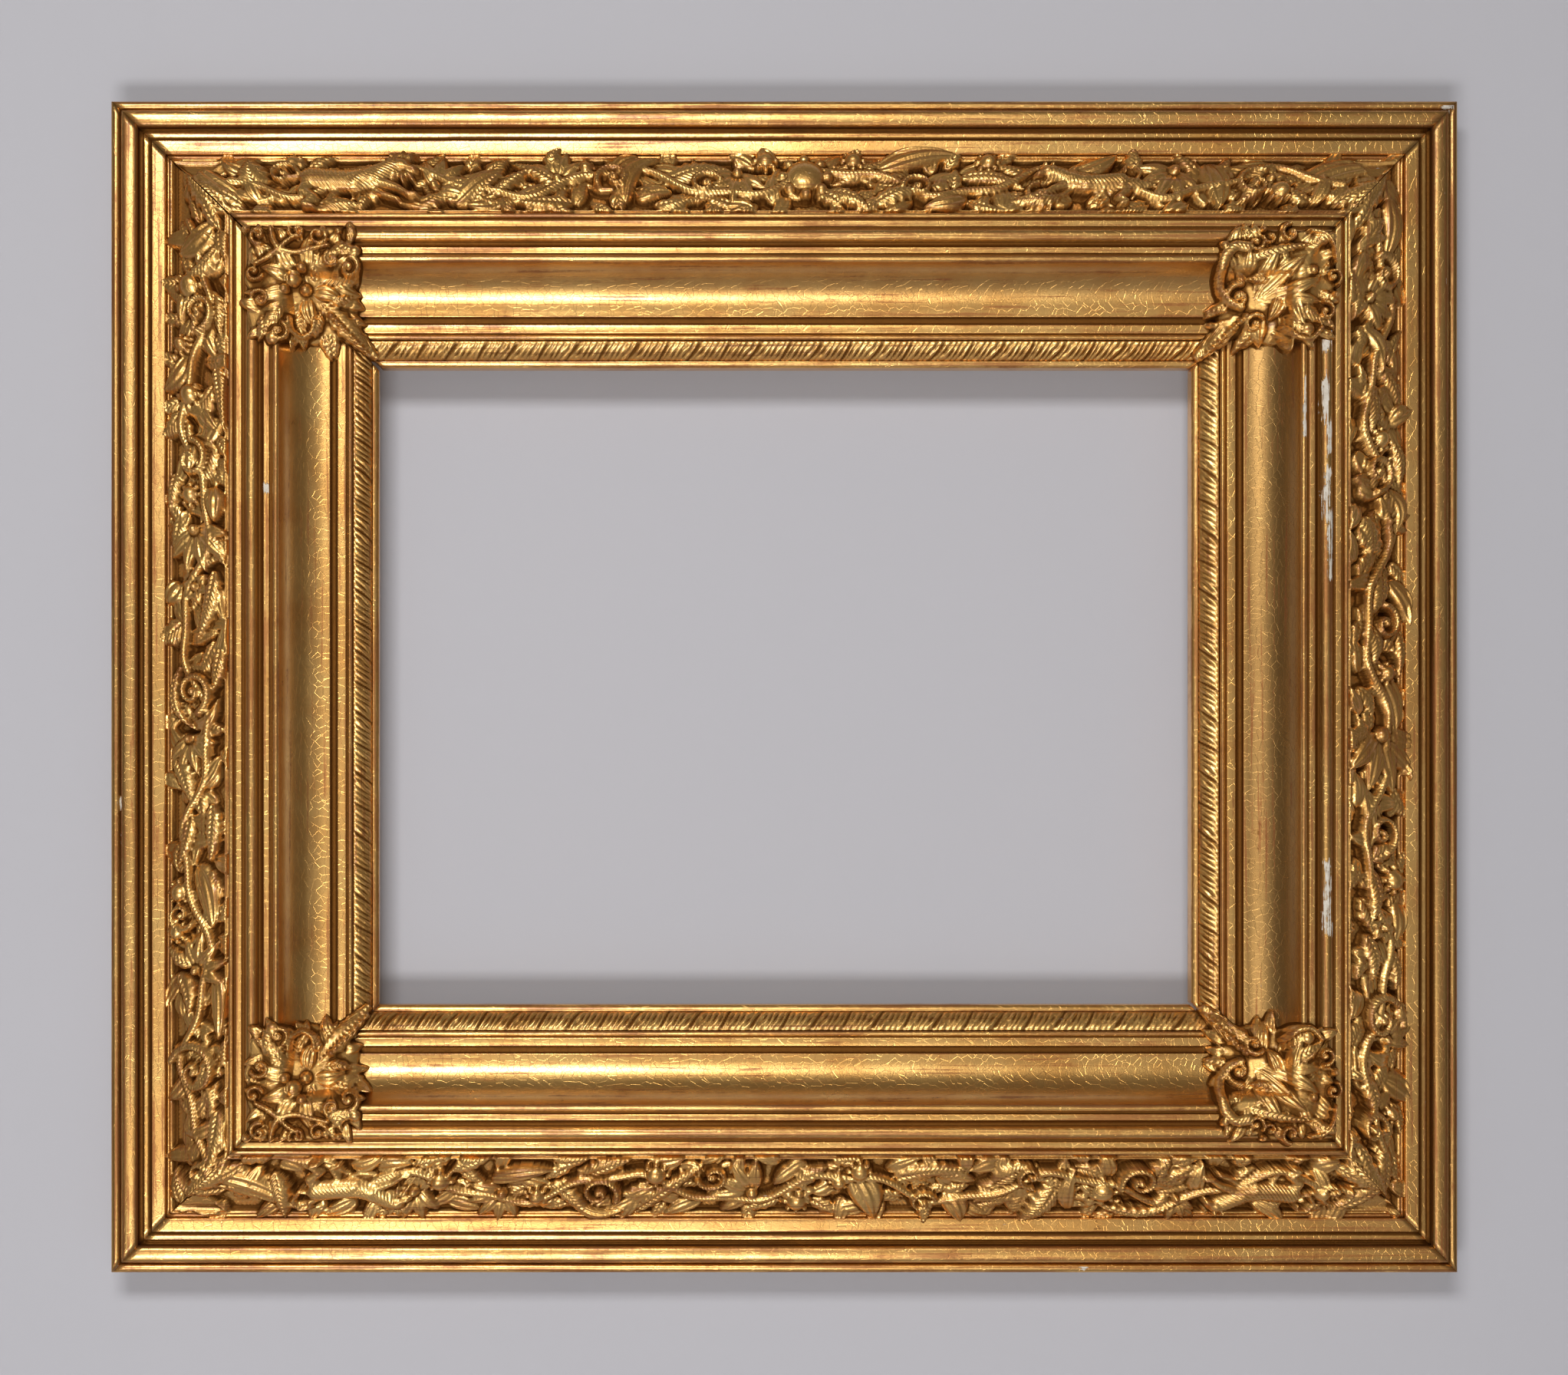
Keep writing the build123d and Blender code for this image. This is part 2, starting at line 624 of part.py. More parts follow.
for side in side_length:
    relief_plane = slope_plane(side, frieze_outer, frieze_inner)
    carved_forms = []
    for leaf in frieze_leaves(side, side_length[side], frieze_slope_width):
        carved_forms.append(leaf_form(relief_plane, leaf, leaf_relief))
    for bud in frieze_buds(side, side_length[side], frieze_slope_width):
        carved_forms.append(bud_form(relief_plane, bud, bud_relief))
    with BuildPart() as frieze:
        add(mitred_rail(side, frieze_section).part)
        add(carved_forms)
        with BuildSketch(section_plane(side)):
            with Locations((0, planting_height)):
                Rectangle(
                    outer_moulding_width + glue_line,
                    band_height + glue_line,
                    align=(Align.MIN, Align.MIN),
                )
            with Locations((frieze_end - glue_line, planting_height)):
                Rectangle(
                    inner_moulding_width,
                    frieze_bead_foot + frieze_bead_rise + glue_line,
                    align=(Align.MIN, Align.MIN),
                )
        extrude(amount=side_length[side] / 2, both=True, mode=Mode.SUBTRACT)
        for end in (-1, 1):
            split(bisect_by=mitre_plane(side, end), keep=Keep.TOP)
    frieze.part.label = f"frieze_{side}"
    export_step(frieze.part, f"parts/frieze_{side}.step")
    print(side, "frieze solids", len(frieze.part.solids()), "faces", len(frieze.part.faces()))

# Corner cartouches: a lobed shell over each mitre of the cove, fluted towards the sight, with a
# C-scroll and a volute on each side. Places are shares of its radius: X points at the outer corner.
cartouche_radius = 29.0
cartouche_lobes = 9
cartouche_dip_share = 0.82
cartouche_foot_height = 12.0
cartouche_middle_height = 37.0
cartouche_crown_height = 44.0
cartouche_crown_share = 0.76
cartouche_lean = 19.0
cartouche_flute_relief = 4.2
cartouche_scroll_relief = 10.0
cartouche_scroll_height = 34.0
cartouche_line = (cove_start + cove_end) / 2
flute_shares = [
    (0.52, 0.00, 180, 1.30, 0.28, 0.00),
    (0.46, 0.14, 152, 0.95, 0.26, -0.03),
    (0.46, -0.14, 208, 0.95, 0.26, 0.03),
]
scroll_shares = [
    (0.62, 0.42, 152, 1.02, 0.17, -0.26),
    (0.62, -0.42, 208, 1.02, 0.17, 0.26),
]
volute_shares = [(0.52, 0.56, 0.17), (0.52, -0.56, 0.17)]


def cartouche_plane(corner, height, lean):
    """Plane over a mitre of the cove, X towards the outer corner, leaning towards the sight."""
    x_sign, z_sign = corner_signs[corner]
    place = Vector(x_sign * (outer_width / 2 - cartouche_line), 0, 0)
    place += Vector(0, 0, z_sign * (outer_height / 2 - cartouche_line))
    front = Vector(0, -1, 0)
    outward = Vector(x_sign, 0, z_sign).normalized()
    normal = front * cos(radians(lean)) - outward * sin(radians(lean))
    climb = outward * cos(radians(lean)) + front * sin(radians(lean))
    return Plane(origin=place + front * (planting_height + height), x_dir=climb, z_dir=normal)


def cartouche_outline(plane, radius):
    """Outline of the lobed shell: a ring of pointed lobes with a dip between each two."""
    outline = []
    for lobe in range(cartouche_lobes):
        for step, reach in ((0, radius), (1, radius * cartouche_dip_share)):
            angle = radians(360 / cartouche_lobes * (lobe + step / 2))
            outline.append(plane.from_local_coords(Vector(reach * cos(angle), reach * sin(angle), 0)))
    return outline


# The cartouches bear on the crest of the rim bead, on the cove and on the sight fillet
rim_crest = planting_height + rim_foot + rim_rise + glue_line
sight_crest = planting_height + sight_fillet_height + glue_line
cove_seats = 6
cove_chord = Vector(cove_end - cove_start, cove_foot - cove_head)
cove_middle = Vector(cartouche_line, planting_height + (cove_head + cove_foot) / 2)
cove_curve = ThreePointArc(
    (cove_start, planting_height + cove_head),
    cove_middle - Vector(-cove_chord.Y, cove_chord.X) * (cove_sink / cove_chord.length),
    (cove_end, planting_height + cove_foot),
)
seat_section = [
    (frieze_end, planting_height, 0),
    (frieze_end, rim_crest, 0),
    (cove_start + glue_line, rim_crest, 0),
]
for seat in range(1, cove_seats):
    place = cove_curve.position_at(seat / cove_seats)
    seat_section.append((place.X + glue_line, place.Y + glue_line, 0))
seat_section += [
    (cove_end + glue_line, planting_height + cove_foot + glue_line, 0),
    (sight_fillet_start, sight_crest, 0),
    (bed_start, sight_crest, 0),
    (bed_start, planting_height, 0),
]


def scaled_leaf(shares, unit):
    """Turn a leaf's shares into millimetres, leaving its turn as it is."""
    x, y, turn, length, width, bend = shares
    return x * unit, y * unit, turn, length * unit, width * unit, bend * unit


for corner in corner_signs:
    leaning = cartouche_plane(corner, cartouche_middle_height, cartouche_lean)
    level = cartouche_plane(corner, cartouche_scroll_height, 0)
    foot = cartouche_outline(cartouche_plane(corner, cartouche_foot_height, 0), cartouche_radius)
    crown_plane = cartouche_plane(corner, cartouche_crown_height, 0)
    crown = cartouche_outline(crown_plane, cartouche_radius * cartouche_crown_share)
    shell_forms = []
    for flute in flute_shares:
        shell_forms.append(leaf_form(leaning, scaled_leaf(flute, cartouche_radius), cartouche_flute_relief))
    for scroll in scroll_shares:
        shell_forms.append(leaf_form(level, scaled_leaf(scroll, cartouche_radius), cartouche_scroll_relief))
    for x, y, radius in volute_shares:
        volute = (x * cartouche_radius, y * cartouche_radius, radius * cartouche_radius)
        shell_forms.append(bud_form(level, volute, cartouche_scroll_relief))
    with BuildPart() as cartouche:
        add(flat_sided(foot, crown))
        split(bisect_by=leaning, keep=Keep.BOTTOM)
        add(shell_forms)
        for side in corner.split("_"):
            add(mitred_rail(side, seat_section).part, mode=Mode.SUBTRACT)
    cartouche.part.label = f"corner_cartouche_{corner}"
    export_step(cartouche.part, f"parts/corner_cartouche_{corner}.step")
    print(corner, "cartouche solids", len(cartouche.part.solids()), "faces", len(cartouche.part.faces()))

# Butterfly keys
with BuildPart() as mitre_keys:
    for corner in corner_signs:
        with BuildSketch(key_plane(corner)):
            Polygon(*key_outline(0), align=None)
        extrude(amount=-key_depth)
mitre_keys.part.label = "mitre_keys"
export_step(mitre_keys.part, "parts/mitre_keys.step")

# Turn buttons, lying along the rail, and their pivot screws
for side in side_length:
    with BuildPart() as turn_button:
        with BuildSketch(back_plane(side).offset(swing_clearance)):
            with Locations(((button_length - button_width) / 2, -button_line)):
                Rectangle(button_length, button_width)
            chamfer(vertices(), length=button_width / 4)
            with Locations((0, -button_line)):
                Circle(pivot_radius + screw_clearance, mode=Mode.SUBTRACT)
        extrude(amount=button_thickness)
    turn_button.part.label = f"turn_button_{side}"
    export_step(turn_button.part, f"parts/turn_button_{side}.step")

button_stack = button_thickness + 2 * swing_clearance
with BuildPart() as pivot_screws:
    for side in side_length:
        with BuildSketch(back_plane(side).offset(button_stack)):
            with Locations((0, -button_line)):
                Circle(pivot_radius)
        extrude(amount=-pivot_length)
        with BuildSketch(back_plane(side).offset(button_stack)):
            with Locations((0, -button_line)):
                Circle(pivot_head_radius)
        extrude(amount=pivot_head_height)
pivot_screws.part.label = "pivot_screws"
export_step(pivot_screws.part, "parts/pivot_screws.step")

# Strap hangers: a flat strap with a rolled knuckle, and the D-ring whose bar turns in it
for side in ("left", "right"):
    back = hanger_plane(side)
    knuckle_axis = Plane(origin=back.origin + back.z_dir * knuckle_radius, x_dir=back.y_dir, z_dir=back.x_dir)
    with BuildPart() as hanger_strap:
        with BuildSketch(back):
            with Locations((0, -strap_length / 2)):
                Rectangle(strap_width, strap_length)
            with Locations((0, hanger_screw_row)):
                Circle(hanger_screw_radius + screw_clearance, mode=Mode.SUBTRACT)
        extrude(amount=strap_thickness)
        with BuildSketch(knuckle_axis):
            Circle(knuckle_radius)
        extrude(amount=strap_width / 2, both=True)
        with BuildSketch(knuckle_axis):
            Circle(knuckle_bore)
        extrude(amount=strap_width, both=True, mode=Mode.SUBTRACT)
    hanger_strap.part.label = f"hanger_strap_{side}"
    export_step(hanger_strap.part, f"parts/hanger_strap_{side}.step")

    bar_end = ring_half_width - ring_corner_radius
    ring_corners = [(0, 0), (bar_end, 0), (ring_half_width, -ring_corner_radius)]
    for bow_step in range(ring_bow_steps + 1):
        angle = radians(180 / ring_bow_steps * bow_step)
        ring_corners.append((ring_half_width * cos(angle), -ring_fall - ring_half_width * sin(angle)))
    ring_corners += [(-ring_half_width, -ring_corner_radius), (-bar_end, 0)]
    with BuildPart() as hanger_ring:
        with BuildLine(back.offset(knuckle_radius)) as ring_line:
            Polyline(*ring_corners, close=True)
        with BuildSketch(knuckle_axis):
            RegularPolygon(ring_wire / 2, ring_wire_flats)
        sweep(path=ring_line.wire(), transition=Transition.RIGHT)
    hanger_ring.part.label = f"hanger_ring_{side}"
    export_step(hanger_ring.part, f"parts/hanger_ring_{side}.step")

with BuildPart() as hanger_screws:
    for side in ("left", "right"):
        with BuildSketch(hanger_plane(side).offset(strap_thickness)):
            with Locations((0, hanger_screw_row)):
                Circle(hanger_screw_radius)
        extrude(amount=-hanger_screw_length)
        with BuildSketch(hanger_plane(side).offset(strap_thickness)):
            with Locations((0, hanger_screw_row)):
                Circle(hanger_screw_head_radius)
        extrude(amount=hanger_screw_head_height)
hanger_screws.part.label = "hanger_screws"
export_step(hanger_screws.part, "parts/hanger_screws.step")
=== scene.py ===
import math

import bpy
import numpy as np
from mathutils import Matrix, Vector


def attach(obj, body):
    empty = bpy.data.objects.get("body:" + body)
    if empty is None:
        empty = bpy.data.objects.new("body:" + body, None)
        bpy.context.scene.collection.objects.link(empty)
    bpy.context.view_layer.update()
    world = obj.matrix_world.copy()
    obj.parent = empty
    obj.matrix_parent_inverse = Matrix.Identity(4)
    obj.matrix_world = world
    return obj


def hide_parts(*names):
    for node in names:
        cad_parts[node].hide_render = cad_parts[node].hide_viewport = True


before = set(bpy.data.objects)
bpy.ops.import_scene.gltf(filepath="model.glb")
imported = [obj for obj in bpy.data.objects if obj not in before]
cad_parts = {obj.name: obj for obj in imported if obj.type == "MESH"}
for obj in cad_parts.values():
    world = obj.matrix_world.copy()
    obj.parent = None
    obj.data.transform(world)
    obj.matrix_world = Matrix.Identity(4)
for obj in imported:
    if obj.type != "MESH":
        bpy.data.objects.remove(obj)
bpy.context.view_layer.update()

# The back of the frame is four softwood boards, sawn, mitred and left unfinished, brown with age.
# The grain runs along each board. A butterfly key of darker hardwood locks each mitre.


class Signal:
    """An output of a node. Python's operators on it add the Math nodes that the sum needs."""

    def __init__(self, finish, socket):
        self.finish, self.socket = finish, socket

    def join(self, operation, first, second):
        return self.finish.node("ShaderNodeMath", {"operation": operation}, {0: first, 1: second})

    def __add__(self, other):
        return self.join("ADD", self, other)

    def __sub__(self, other):
        return self.join("SUBTRACT", self, other)

    def __mul__(self, other):
        return self.join("MULTIPLY", self, other)

    def __rsub__(self, other):
        return self.join("SUBTRACT", other, self)

    __radd__, __rmul__ = __add__, __mul__


class Finish:
    """A procedural material. Every node comes from node(), and the shader is made by surface()."""

    def __init__(self, name):
        self.material = bpy.data.materials.new(name)
        self.material.use_nodes = True
        self.tree = self.material.node_tree
        self.tree.nodes.clear()
        self.place = self.node("ShaderNodeTexCoord", output="Object")

    def node(self, kind, settings=None, sockets=None, output=0):
        made = self.tree.nodes.new(kind)
        for key, value in (settings or {}).items():
            setattr(made, key, value)
        for key, value in (sockets or {}).items():
            if isinstance(value, Signal):
                self.tree.links.new(value.socket, made.inputs[key])
            else:
                made.inputs[key].default_value = value
        return Signal(self, made.outputs[output]) if made.outputs else None

    def noise(self, scale, detail=3.0, roughness=0.55, place=None):
        sockets = {"Vector": place or self.place, "Scale": scale, "Detail": detail, "Roughness": roughness}
        return self.node("ShaderNodeTexNoise", {}, sockets)

    def stretch(self, scale):
        return self.node("ShaderNodeMapping", {}, {"Vector": self.place, "Scale": scale})

    def fade(self, value, low, high):
        sockets = {"Value": value, "From Min": low, "From Max": high}
        return self.node("ShaderNodeMapRange", {"interpolation_type": "SMOOTHSTEP"}, sockets)

    def blend(self, share, first, second):
        first = first if isinstance(first, Signal) else (*first, 1.0)
        second = second if isinstance(second, Signal) else (*second, 1.0)
        return self.node("ShaderNodeMix", {"data_type": "RGBA"}, {0: share, 6: first, 7: second}, 2)

    def attribute(self, name):
        return self.node("ShaderNodeAttribute", {"attribute_name": name}, output="Fac")

    def bump(self, height, depth, under=None):
        sockets = {"Height": height, "Distance": depth, "Strength": 1.0}
        if under:
            sockets["Normal"] = under
        return self.node("ShaderNodeBump", {}, sockets)

    def surface(self, sockets):
        shader = self.node("ShaderNodeBsdfPrincipled", {}, sockets)
        self.node("ShaderNodeOutputMaterial", {}, {"Surface": shader})
        return self.material


def wood_finish(name, along, early, late, rough=0.72):
    """Growth rings drawn out along one axis: a wave bent by noise, with pores and a dusty film."""
    finish = Finish(name)

    def drawn_out(across_grain, along_grain):
        return finish.stretch([along_grain if axis == along else across_grain for axis in "XYZ"])

    figure = finish.noise(1.0, 4.0, 0.6, drawn_out(58.0, 1.8))
    wave = finish.node("ShaderNodeMath", {"operation": "SINE"}, {0: figure * 34.0})
    rings = finish.fade(wave, -1.0, 1.0)
    pores = finish.noise(1.0, 2.0, 0.5, drawn_out(900.0, 30.0))
    dust = finish.fade(finish.noise(7.0, 5.0), 0.42, 0.72)
    colour = finish.blend(rings * 0.45 + pores * 0.40, early, late)
    colour = finish.blend(dust * 0.45, colour, (0.13, 0.085, 0.05))
    relief = finish.bump(rings * 0.5 + pores, 0.00018)
    return finish.surface({"Base Color": colour, "Roughness": rough + 0.12 * dust, "Normal": relief})


def dress(node, material):
    """Give a CAD node its finish."""
    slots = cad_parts[node].data.materials
    slots.clear()
    slots.append(material)


board_early, board_late = (0.40, 0.255, 0.13), (0.235, 0.130, 0.058)
for sides, lie, along in ((("top", "bottom"), "level", "X"), (("left", "right"), "upright", "Z")):
    board = wood_finish(f"softwood_{lie}", along, board_early, board_late)
    for side in sides:
        dress(f"back_rail_{side}", board)
dress("mitre_keys", wood_finish("key_hardwood", "X", (0.20, 0.095, 0.045), (0.10, 0.045, 0.022), 0.5))

# Brass turn buttons and strap hangers, gone brown between the worn places, with steel screws.
# The D-rings' wire is drawn brass, so its scratches run every way and its polish is patchy.


def metal_finish(name, clean, tarnish, bright, dull):
    """Clean metal with patches of tarnish, a film of fine scratches and pits under them."""
    finish = Finish(name)
    patches = finish.fade(finish.noise(160.0, 5.0, 0.62), 0.40, 0.66)
    scratches = finish.noise(1.0, 2.0, 0.5, finish.stretch((700.0, 3200.0, 2400.0)))
    colour = finish.blend(patches, clean, tarnish)
    rough = bright + (dull - bright) * patches + 0.10 * scratches
    relief = finish.bump(finish.noise(1400.0, 3.0) + 0.6 * scratches, 0.00004)
    return finish.surface({
        "Base Color": colour, "Roughness": rough, "Metallic": 1.0 - 0.35 * patches, "Normal": relief,
    })


brass = metal_finish("old_brass", (0.72, 0.50, 0.20), (0.26, 0.155, 0.062), 0.26, 0.52)
steel = metal_finish("dull_steel", (0.50, 0.49, 0.47), (0.20, 0.15, 0.11), 0.32, 0.58)
for side in ("top", "bottom", "left", "right"):
    dress(f"turn_button_{side}", brass)
for side in ("left", "right"):
    dress(f"hanger_strap_{side}", brass)
    dress(f"hanger_ring_{side}", brass)
dress("pivot_screws", steel)
dress("hanger_screws", steel)

# The outer moulding is run in softwood, coated with gesso and red bole, and water gilded. From the
# outer edge: bead, torus, hollow, fillet, step, a flat band, and the small bead above the frieze.
# Gilders burnish the leaf on the round members, and hands wear it through to the bole on arrises.

# Lengths are millimetres. The mouldings are planted on the back boards, a little off the wall.
mm = 0.001
wall_gap, rebate_depth = 4.5, 16.0
planting = wall_gap + rebate_depth
half_width, half_height = 334.4, 290.9
outline_step = 0.12
# Each rail's direction outward, its direction clockwise, how far out it lies, and half its length
rails = {
    "top": ((0, 1), (1, 0), half_height, half_width),
    "right": ((1, 0), (0, -1), half_width, half_height),
    "bottom": ((0, -1), (-1, 0), half_height, half_width),
    "left": ((-1, 0), (0, 1), half_width, half_height),
}


def walk_outline(corners):
    """Points at equal small steps round a closed section. A corner is inward, forward and the rise
    of the arc that leads to it; an arc's points are its chord's, lifted by a parabola of that rise."""
    points = []
    for (w0, h0, _), (w1, h1, rise) in zip(corners, corners[1:] + corners[:1]):
        length = math.hypot(w1 - w0, h1 - h0)
        count = max(2, int(length / outline_step))
        share = np.arange(count) / count
        if rise:
            radius = (length ** 2 / 4 + rise ** 2) / (2 * abs(rise))
            reach = (share - 0.5) * length
            lift = np.sign(rise) * (np.sqrt(np.maximum(radius ** 2 - reach ** 2, 0)) - (radius - abs(rise)))
        else:
            lift = np.zeros_like(share)
        across = np.array([-(h1 - h0), w1 - w0]) / length
        chord = share[:, None] * np.array([w1 - w0, h1 - h0])
        points.append(np.array([w0, h0]) + chord + lift[:, None] * across)
    return np.concatenate(points)


def smooth_round(values, reach):
    """A closed row of values, each averaged with its neighbours under a bell curve of that reach."""
    count = len(values)
    offsets = np.fft.fftfreq(count) * count
    bell = np.exp(-0.5 * (offsets / reach) ** 2)
    bell = np.fft.fft(bell / bell.sum())[:, None]
    return np.real(np.fft.ifft(np.fft.fft(values, axis=0) * bell, axis=0))


def soft_section(corners, count):
    """A section as it looks under gesso: its arrises softened by a bell curve, its points closer
    where it turns, and for each point how far it stands proud of the section's broad shape."""
    arris_reach, broad_reach = 0.16, 1.6
    walked = walk_outline(corners)
    soft = smooth_round(walked, arris_reach / outline_step)
    broad = smooth_round(walked, broad_reach / outline_step)
    ahead = np.roll(soft, -1, axis=0) - np.roll(soft, 1, axis=0)
    outward = np.stack([-ahead[:, 1], ahead[:, 0]], axis=1) / np.linalg.norm(ahead, axis=1)[:, None]
    proud = ((soft - broad) * outward).sum(axis=1)
    heading = np.unwrap(np.arctan2(ahead[:, 1], ahead[:, 0]))
    pace = outline_step * 0.35 + np.abs(np.gradient(heading)) * 0.9
    gone = np.concatenate([[0], np.cumsum(pace)[:-1]])
    picked = np.interp(np.arange(count) / count * pace.sum(), gone, np.arange(len(gone)))
    rows = np.arange(len(gone))
    return [np.interp(picked, rows, column) for column in (soft[:, 0], soft[:, 1], proud)]


def gilded_skin(name, points, faces, marks, material, node):
    """A closed skin that carries its marks as attributes, rides on the frame and shows a CAD node."""
    mesh = bpy.data.meshes.new(name)
    mesh.from_pydata((points.reshape(-1, 3) * mm).tolist(), [], faces)
    mesh.shade_smooth()
    for mark, values in marks.items():
        layer = mesh.attributes.new(mark, "FLOAT", "POINT")
        layer.data.foreach_set("value", np.ascontiguousarray(values, dtype=np.float32).ravel())
    mesh.update()
    piece = bpy.data.objects.new(name, mesh)
    bpy.context.scene.collection.objects.link(piece)
    piece.data.materials.append(material)
    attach(piece, "frame")
    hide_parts(node)
    return piece


def lay_rail(name, side, inward, forward, along, marks, material, node):
    """A skin of sections set along one side: rows are stations and columns go round the section.
    Inward and along lie in the frame's plane, forward leaves the wall. Both ends are capped flat."""
    (out_x, out_z), (on_x, on_z), reach, _ = rails[side]
    rows, columns = inward.shape
    level = reach - inward
    points = np.stack([out_x * level + on_x * along, -forward, out_z * level + on_z * along], axis=-1)
    index = np.arange(rows * columns).reshape(rows, columns)
    ahead = np.roll(index, -1, axis=1)
    quads = np.stack([index[:-1], ahead[:-1], ahead[1:], index[1:]], axis=-1).reshape(-1, 4)
    caps = [index[0][::-1].tolist(), index[-1].tolist()]
    marks = {"side_shade": 0 * inward, **marks, "run": along * mm + reach, "fall": inward * mm}
    piece = gilded_skin(name, points, quads.tolist() + caps, marks, material, node)
    for cap in (-1, -2):
        piece.data.polygons[cap].use_smooth = False


def waver(along, inward, seed):
    """The slight unevenness of a hand-scraped moulding: three slow waves of unlike length."""
    return sum(
        size * np.sin(along / span + phase * (seed + 1.7) + inward * 0.03)
        for size, span, phase in ((0.10, 47.0, 1.3), (0.06, 21.0, 2.9), (0.03, 8.3, 4.1))
    )


# Cracks in the mitres: rail, its end clockwise, where the crack starts and stops inward, its width
mitre_cracks = [
    ("top", -1, 20, 66, 0.55), ("left", 1, 20, 66, 0.35), ("top", -1, 112, 133, 1.1),
    ("left", 1, 112, 133, 1), ("right", 1, 108, 133, 1), ("bottom", -1, 108, 133, 0.9),
    ("right", -1, 4, 40, 0.25), ("left", -1, 90, 133, 0.3),
]


def mitred(side, inward, share):
    """Places along a rail for shares from -1 to 1 of its half length, which the mitre shortens, and
    the crack that has opened in it."""
    ends = []
    for end in (-1, 1):
        crack = 0.05
        for cracked_side, cracked_end, start, stop, width in mitre_cracks:
            if (cracked_side, cracked_end) == (side, end):
                crack = crack + width * np.clip((inward - start) / (stop - start), 0, 1)
        ends.append(rails[side][3] - inward - crack)
    return np.where(share < 0, share * ends[0], share * ends[1])


# Places where the gilding has flaked to the white gesso: rail, from and to along it, inward, spread
lost_gilding = [
    ("right", -196, -164, 72.5, 3.4), ("right", -147, -128, 73.5, 2.8), ("right", -132, -113, 71.5, 2),
    ("right", -104, -80, 72.5, 2.6), ("right", -84, -52, 71, 2.3), ("right", -150, -120, 84.5, 1.2),
    ("right", 87, 121, 72.5, 2.8), ("right", 117, 121, 70, 2), ("left", 94, 97, 80, 1.8),
    ("left", -60, -56, 5, 1.6), ("top", 327, 333, 3, 1.8), ("right", -290, -286, 3, 1.8),
    ("bottom", -150, -146, 2.5, 1.5),
]
# Colours of what lies under the leaf and on it, then the browns of dirt with painted shade, and of painted
# shade alone
bole, dirt_and_shade_brown, side_shade_brown = (0.27, 0.090, 0.030), (0.15, 0.058, 0.010), (0.36, 0.205, 0.070)
gesso_clean, gesso_soiled = (0.90, 0.87, 0.80), (0.50, 0.44, 0.35)


def gilded_finish(name, leaf_light, leaf_deep, rough, pitting, metallic):
    """Gold leaf over red bole over white gesso. Crests are rubbed to the bole, hollows hold brown dirt and
    painted shade, listed bands are browned with painted shade, lost places show gesso with a ragged edge,
    and fine age cracks cross all of it."""
    finish = Finish(name)
    recess, crest, loss, side_shade = (finish.attribute(mark) for mark in ("recess", "crest", "loss", "side_shade"))
    broad = finish.noise(11.0, 4.0, 0.6)
    patch = finish.noise(46.0, 5.0, 0.62)

    def drawn_out(along_rail, across_rail, shift):
        run, fall = finish.attribute("run") * along_rail, finish.attribute("fall") * across_rail
        return finish.node("ShaderNodeCombineXYZ", {}, {"X": run, "Y": fall, "Z": shift})

    streak = finish.noise(1.0, 4.0, 0.62, drawn_out(14.0, 620.0, patch * 0.4))
    fine = finish.noise(420.0, 4.0, 0.6)
    grit = finish.noise(1500.0, 2.0, 0.5)
    gold = finish.blend(finish.fade(broad * 0.5 + patch * 0.5, 0.36, 0.66), leaf_light, leaf_deep)
    # The listed bands are browned here and their coat thinned: painted shade
    gold = finish.blend(side_shade * (0.75 + 0.5 * streak), gold, side_shade_brown)
    rubbed = finish.fade(crest * 0.16 + streak * 1.45 + patch * 0.40 + fine * 0.25, 1.12, 1.34)
    worn = finish.blend(rubbed * 0.75, gold, bole)
    # Hollows from the recess mark turn dark brown: dirt and painted shade in one
    hollow_shade_and_dirt = finish.fade(recess * 1.15 + fine * 0.25 + streak * 0.55, 0.56, 1.30)
    with_dirt_and_shade = finish.blend(hollow_shade_and_dirt, worn, dirt_and_shade_brown)
    speck = finish.fade(fine * 0.6 + patch * 0.5, 0.68, 0.78)
    with_dirt_and_shade = finish.blend(speck * 0.6, with_dirt_and_shade, dirt_and_shade_brown)
    ragged = finish.noise(240.0, 3.0, 0.6)
    splinter = finish.noise(1.0, 3.0, 0.6, drawn_out(60.0, 1500.0, ragged * 0.5))
    bare = finish.fade(loss + ragged * 1.1 + streak * 1.0 + splinter * 2.2, 2.86, 2.99)
    colour = finish.blend(bare, with_dirt_and_shade, finish.blend(fine, gesso_clean, gesso_soiled))
    cell = {"Vector": finish.place, "Scale": 260.0}
    cells = finish.node("ShaderNodeTexVoronoi", {"feature": "DISTANCE_TO_EDGE"}, cell)
    cracks = 1.0 - finish.fade(cells, 0.0, 0.035)
    leaf = {0: metallic - 0.20 * rubbed - 0.12 * hollow_shade_and_dirt, 1: 1.0 - bare}
    metal = finish.node("ShaderNodeMath", {"operation": "MULTIPLY", "use_clamp": True}, leaf)
    roughness = rough + 0.16 * patch + 0.22 * hollow_shade_and_dirt + 0.12 * rubbed + 0.35 * bare + 0.08 * side_shade
    relief = finish.bump(patch * 0.35 + fine * pitting * 0.5, 0.00018)
    relief = finish.bump(grit * 0.35 - cracks * 0.35 - bare * 1.4, 0.00010, relief)
    size_coat = (1.0 - hollow_shade_and_dirt) * (1.0 - bare) * (0.9 - 0.4 * rubbed) * (1.0 - 0.8 * side_shade)
    return finish.surface({
        "Base Color": colour, "Roughness": roughness, "Metallic": metal, "Normal": relief,
        "Coat Weight": size_coat, "Coat Roughness": 0.20, "Specular Tint": (1.0, 0.72, 0.42, 1.0),
    })


burnished = gilded_finish("burnished_gilding", (0.88, 0.53, 0.165), (0.68, 0.345, 0.085), 0.22, 0.4, 0.97)

